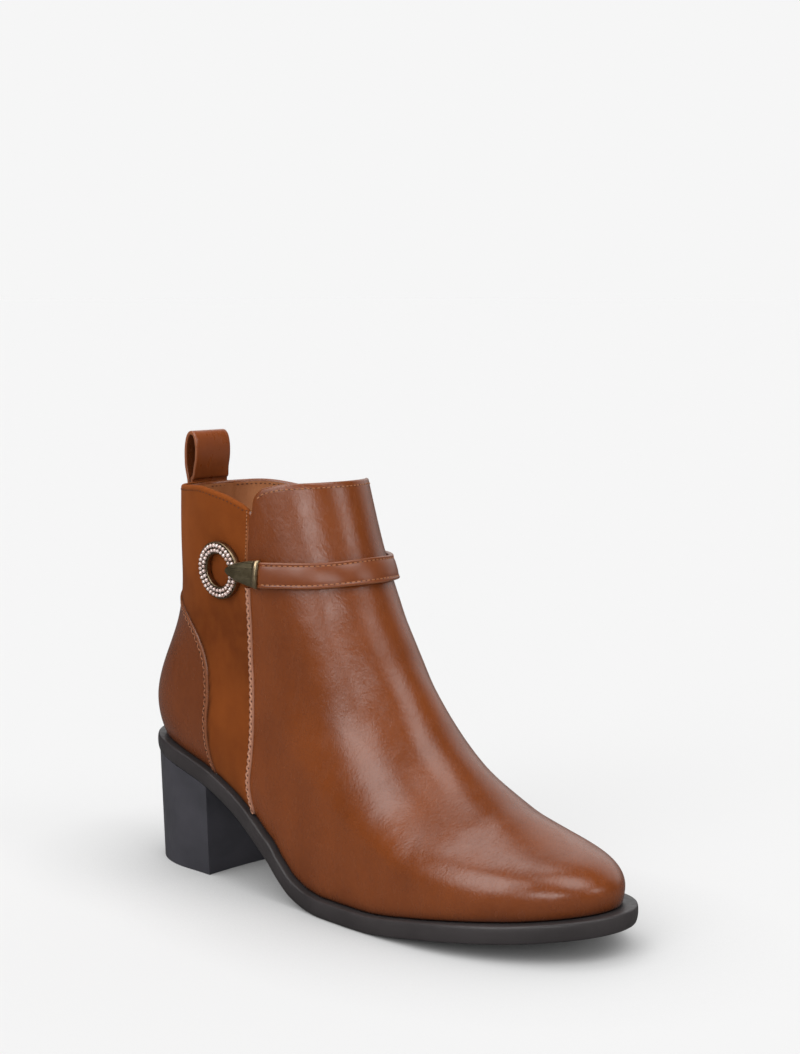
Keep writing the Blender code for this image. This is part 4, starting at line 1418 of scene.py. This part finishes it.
def make_tip():
    """Domed pointed metal tip on the strap's end, with a raised bar across its blunt end."""
    end = outer_place(STRAP_OUTER_END, strap_height(STRAP_OUTER_END))
    blunt, out = lifted(*end, TIP_BLUNT_LIFT + STRAP_THICKNESS / 2)
    point = lifted(*outer_place(*TIP_POINT[:2]), TIP_POINT[2])[0]
    matrix = plate_frame(blunt[0], point[0] - blunt[0], out[0])
    run = np.sin(np.linspace(0, np.pi / 2, TIP_STATIONS)) * TIP_END
    across = np.concatenate([-np.array(TIP_ACROSS[:0:-1]), TIP_ACROSS])
    off_middle = np.abs(across)
    rows = []
    rim = []
    for share in run:
        half = TIP_WIDTH / 2 * math.sqrt(max(1 - share**TIP_ROUNDNESS, 0)) * (1 - TIP_TAPER * share)
        reach = TIP_CLEARANCE + share * (TIP_LENGTH - TIP_CLEARANCE)
        bar = ease(reach, *TIP_BAR[0]) - ease(reach, *TIP_BAR[1])
        dome = TIP_DOME * (1 - share ** TIP_DOME_POWERS[0]) * (1 - off_middle ** TIP_DOME_POWERS[1])
        crown = TIP_THICKNESS / 2 + dome + TIP_BAR_RISE * bar
        crown = crown - TIP_EDGE_DROP * np.clip((off_middle - TIP_EDGE_FROM) / (1 - TIP_EDGE_FROM), 0, 1)
        top = together(reach, across * half, crown)
        base = together(reach, half * np.array((1, 0, -1)), -TIP_THICKNESS / 2)
        rows.append(placed(np.vstack([top, base]), matrix))
        rim.append(np.full(len(rows[-1]), bar))
    mesh = grid_mesh("strap_tip_metal", rows, wrap=True, flip=True, caps=one_face, rim=rim)
    add_piece("strap_tip_metal", mesh, AGED_BRASS, "aged_brass", "strap_tip")


LOOP_SAMPLES = 120
# Half of the strip's section, whose other half is its opposite
LOOP_SECTION = {
    "across": (-0.97, -1.0, -1.0, -0.97, -0.9, -0.5, 0, 0.5, 0.9),
    "out": (-0.46, -0.3, 0.3, 0.46, 0.5, 0.5, 0.5, 0.5, 0.5),
}
# How pale the loop's edges are and beyond which offset, and how much painted shade it has inside and at its
# foot
LOOP_WORN = 0.75
LOOP_WORN_FROM = 0.98
LOOP_INSIDE_SHADE = 0.45
LOOP_INSIDE_FROM = -0.4
LOOP_FOOT_SHADE = 0.25
LOOP_FOOT_HEIGHTS = (-2, 14)


def make_pull_loop():
    """A strip of leather folded over into a loop, its two ends lying on the back of the upper."""
    path = flowing(together(LOOP_PATH["out"], LOOP_PATH["rise"]), LOOP_SAMPLES)
    heights = path[:, 1] * np.where(path[:, 1] > 0, LOOP_HEIGHT, LOOP_TAIL)
    h = TOP_RING + np.minimum(heights, 0) / (UPPER_RINGS["back_lift"][-1] - UPPER_RINGS["back_lift"][-2])
    half, rounding = ring_column("rear_half", h), ring_column("rear_round", h)
    bow = 1 - LOOP_FLATNESS * ease(path[:, 1], 0, LOOP_FLAT_FROM)
    section = together(LOOP_SECTION["across"], LOOP_SECTION["out"])
    section = np.vstack([section, -section])
    rows = []
    for across, out in section:
        y = LOOP_MIDDLE + across * LOOP_WIDTH / 2
        sagitta = rounding * (1 - np.sqrt(1 - (y / half) ** 2))
        line = together(ring_column("back_x", h) + sagitta * bow - path[:, 0], heights)
        run = along_path(line)
        line = line + together(run[:, 1], -run[:, 0]) * (out * LOOP_SHEET)
        rows.append(together(line[:, 0], y, skin(TOP_RING, 0)[2] + line[:, 1]))
    stations = np.swapaxes(np.array(rows), 0, 1)
    toned = LOOP_WORN * (np.abs(section[:, 0]) > LOOP_WORN_FROM)
    # Painted shade on the strip's inner faces and at its foot
    inside = LOOP_INSIDE_SHADE * (section[:, 1] < LOOP_INSIDE_FROM)
    foot = LOOP_FOOT_SHADE * (1 - ease(heights, *LOOP_FOOT_HEIGHTS))
    fields = {"foot_shade": np.maximum(foot[:, None], inside), "rim": np.tile(toned, (LOOP_SAMPLES, 1))}
    mesh = grid_mesh("pull_loop_leather", stations, wrap=True, caps=one_face, **fields)
    add_piece("pull_loop_leather", mesh, LOOP_LEATHER, "loop_leather", "pull_loop")


# Sole, heel and insole
SOLE_STATIONS = 220
HEEL_STATIONS = 48
HEEL_ACROSS = 15
HEEL_BEVEL = 0.7
HEEL_BEVEL_STEPS = 3
HEEL_BEVEL_ANGLE = 40
# Set closer to the back than in the solid, so that the heel's back is round and not cut flat
HEEL_BACK_ANGLE = 0.05
INSOLE_STATIONS = 120
INSOLE_EDGE = {"inset": (0, 0, 0.25, 0.8, 2.0, 6.0), "height": (0, 0.7, 0.9, 0.98, 1.0, 1.0)}


def sole_ring(inset, share):
    x = cosine_stations(inset, SOLE_LENGTH - inset, SOLE_STATIONS + 1)
    z = sole_under(x) + share * (sole_top(x) - sole_under(x))
    outer, inner = [together(x, sole_middle(x) + side * sole_half(x, inset), z) for side in (-1, 1)]
    return np.vstack([outer, inner[-2:0:-1]])


def make_outsole():
    rings = [sole_ring(inset, share) for inset, share in zip(SOLE_EDGE["inset"], SOLE_EDGE["share"])]
    mesh = grid_mesh("outsole_rubber", rings, wrap=True, caps=strips_across)
    add_piece("outsole_rubber", mesh, BLACK_RUBBER, "black_rubber", "outsole")


def make_heel():
    """Block heel between the floor and the sole, with its edges eased."""
    across = np.linspace(-1, 1, HEEL_ACROSS)
    sections = []
    for u in 1 - np.cos(np.linspace(HEEL_BACK_ANGLE, np.pi / 2, HEEL_STATIONS)):
        rows = []
        for inset, at_top in ((HEEL_BASE_INSET, False), (HEEL_TOP_INSET, True)):
            x = inset + (HEEL_BREAST - inset) * u
            row_x = x - HEEL_BREAST_HOLLOW * (1 - across**2) * u**HEEL_HOLLOW_POWER
            height = sole_under(row_x) if at_top else 0.0
            rows.append(together(row_x, sole_middle(x) + across * sole_half(x, inset), height))
        sections.append(np.vstack([rows[0], rows[1][::-1]]))
    mesh = grid_mesh("heel_block_black", sections, wrap=True, caps=one_face)
    mesh.materials.append(BLACK_HEEL)
    piece = put_in_scene("heel_block_black", mesh)
    eased = piece.modifiers.new("eased_edges", "BEVEL")
    eased.width = HEEL_BEVEL * MM
    eased.segments = HEEL_BEVEL_STEPS
    eased.limit_method = "ANGLE"
    eased.angle_limit = math.radians(HEEL_BEVEL_ANGLE)
    eased.harden_normals = True
    settled(piece)
    declare(piece, "black_heel", "heel_block")


def make_insole():
    """Sock on the insole board, cut to the upper's lowest ring."""
    around = np.arange(2 * INSOLE_STATIONS) / INSOLE_STATIONS
    ring = skin(0, around)[:, :2]
    along = np.roll(ring, -1, axis=0) - np.roll(ring, 1, axis=0)
    inward = unit(together(-along[:, 1], along[:, 0]))
    rings = []
    for inset, share in zip(INSOLE_EDGE["inset"], INSOLE_EDGE["height"]):
        plan = ring + inward * (WALL + INSOLE_CLEARANCE + inset)
        height = sole_top(plan[:, 0]) + INSOLE_SEAT + share * INSOLE_THICKNESS
        rings.append(np.column_stack([plan, height]))
    mesh = grid_mesh("insole_sock", rings, wrap=True, caps=strips_across)
    add_piece("insole_sock", mesh, SOCK, "sock_lining", "insole")


# Camera, floor and light
def direction(azimuth, elevation):
    a, e = math.radians(azimuth), math.radians(elevation)
    return Vector((math.sin(a) * math.cos(e), -math.cos(a) * math.cos(e), math.sin(e)))


def make_camera():
    back = direction(VIEW_AZIMUTH, VIEW_ELEVATION)
    data = bpy.data.cameras.new("photo_view")
    camera = put_in_scene("photo_view", data)
    camera.location = Vector(to_world(VIEW_TARGET)) + back * VIEW_DISTANCE * MM
    camera.rotation_mode = "QUATERNION"
    camera.rotation_quaternion = back.to_track_quat("Z", "Y")
    data.sensor_fit = "HORIZONTAL"
    data.sensor_width = SENSOR_WIDTH
    data.lens = PIXELS_PER_MM * VIEW_DISTANCE * SENSOR_WIDTH / IMAGE_SIZE[0]
    data.shift_x = (IMAGE_SIZE[0] / 2 - TARGET_PIXEL[0]) / IMAGE_SIZE[0]
    data.shift_y = (TARGET_PIXEL[1] - IMAGE_SIZE[1] / 2) / IMAGE_SIZE[0]
    data.clip_end = CLIP_END
    bpy.context.scene.camera = camera


FLOOR_SIZE = 60.0
FLOOR_CELLS = 4
FLOOR_COLOUR = 0.685
# How much of the floor's brightness is its own even glow, how far from the boot that glow is shaded, and what
# share of its brightness gloss mirrors
FLOOR_GLOW = 0.6
FLOOR_SHADE_REACH = 0.075
FLOOR_SHADE_SAMPLES = 8
FLOOR_MIRRORED = 0.15


def make_floor():
    mesh = bpy.data.meshes.new("floor")
    shape = bmesh.new()
    bmesh.ops.create_grid(shape, x_segments=FLOOR_CELLS, y_segments=FLOOR_CELLS, size=FLOOR_SIZE)
    shape.to_mesh(mesh)
    shape.free()
    strength = BACKDROP * FLOOR_GLOW
    finish = Finish("pale_floor", Roughness=1.0, Specular_IOR_Level=0.0, Emission_Strength=strength)
    mirrored = finish.add("ShaderNodeLightPath", {}, output="Is Glossy Ray")
    share = finish.spread(mirrored, 0, 1, 1, FLOOR_MIRRORED)
    colour = finish.math("MULTIPLY", share, FLOOR_COLOUR * (1 - FLOOR_GLOW))
    near = {"Distance": FLOOR_SHADE_REACH}
    open_sky = finish.add("ShaderNodeAmbientOcclusion", near, output="AO", samples=FLOOR_SHADE_SAMPLES)
    glow = finish.math("MULTIPLY", share, open_sky)
    mesh.materials.append(finish.made(Base_Color=colour, Emission_Color=glow))
    put_in_scene("floor", mesh)


def make_light():
    """A soft surround with brighter panels, and an even backdrop behind it all."""
    world = bpy.data.worlds.new("studio")
    bpy.context.scene.world = world
    world.use_nodes = True
    tree = world.node_tree
    tree.nodes.clear()
    add = partial(add_node, tree)

    def maths(operation, *values):
        return add("ShaderNodeMath", dict(enumerate(values)), operation=operation)

    def along(axis):
        return add("ShaderNodeVectorMath", {0: ray, 1: axis}, output="Value", operation="DOT_PRODUCT")

    ray = add("ShaderNodeTexCoord", {}, output="Generated")
    mirrored = add("ShaderNodeLightPath", {}, output="Is Glossy Ray")
    surround = {"Value": mirrored, "To Min": SURROUND, "To Max": SURROUND_MIRRORED}
    light = add("ShaderNodeMapRange", surround)
    for row in range(len(LIGHT_PANELS["name"])):
        panel = {key: LIGHT_PANELS[key][row] for key in LIGHT_PANELS}
        ahead = direction(panel["azimuth"], panel["elevation"])
        turn = math.radians(panel["azimuth"])
        right = Vector((math.cos(turn), math.sin(turn), 0))
        depth = along(ahead)
        facing = maths("MAXIMUM", depth, PANEL_LEAST_DEPTH)
        glow = maths("GREATER_THAN", depth, PANEL_LEAST_DEPTH)
        for axis, half in ((right, panel["half_width"]), (ahead.cross(right), panel["half_height"])):
            reach = math.tan(math.radians(half))
            side = maths("ABSOLUTE", maths("DIVIDE", along(axis), facing))
            edge = {"Value": side, "From Min": reach * PANEL_EDGE[0], "From Max": reach * PANEL_EDGE[1]}
            inside = add("ShaderNodeMapRange", edge, interpolation_type="SMOOTHSTEP")
            glow = maths("MULTIPLY", glow, inside)
        light = maths("MULTIPLY_ADD", glow, panel["strength"], light)
    studio = add("ShaderNodeBackground", {"Color": light})
    backdrop = add("ShaderNodeBackground", {"Color": (BACKDROP, BACKDROP, BACKDROP, 1)})
    seen = add("ShaderNodeLightPath", {}, output="Is Camera Ray")
    shown = add("ShaderNodeMixShader", {0: seen, 1: studio, 2: backdrop})
    tree.links.new(shown, tree.nodes.new("ShaderNodeOutputWorld").inputs["Surface"])
    bpy.context.scene.view_settings.view_transform = "Standard"


make_camera()
make_floor()
make_light()
make_shell()
make_lining()
make_suede_panel()
make_counter()
make_collar_stitches()
make_seam_braid()
make_counter_stitches()
make_strap()
make_ring()
make_tip()
make_pull_loop()
make_outsole()
make_heel()
make_insole()
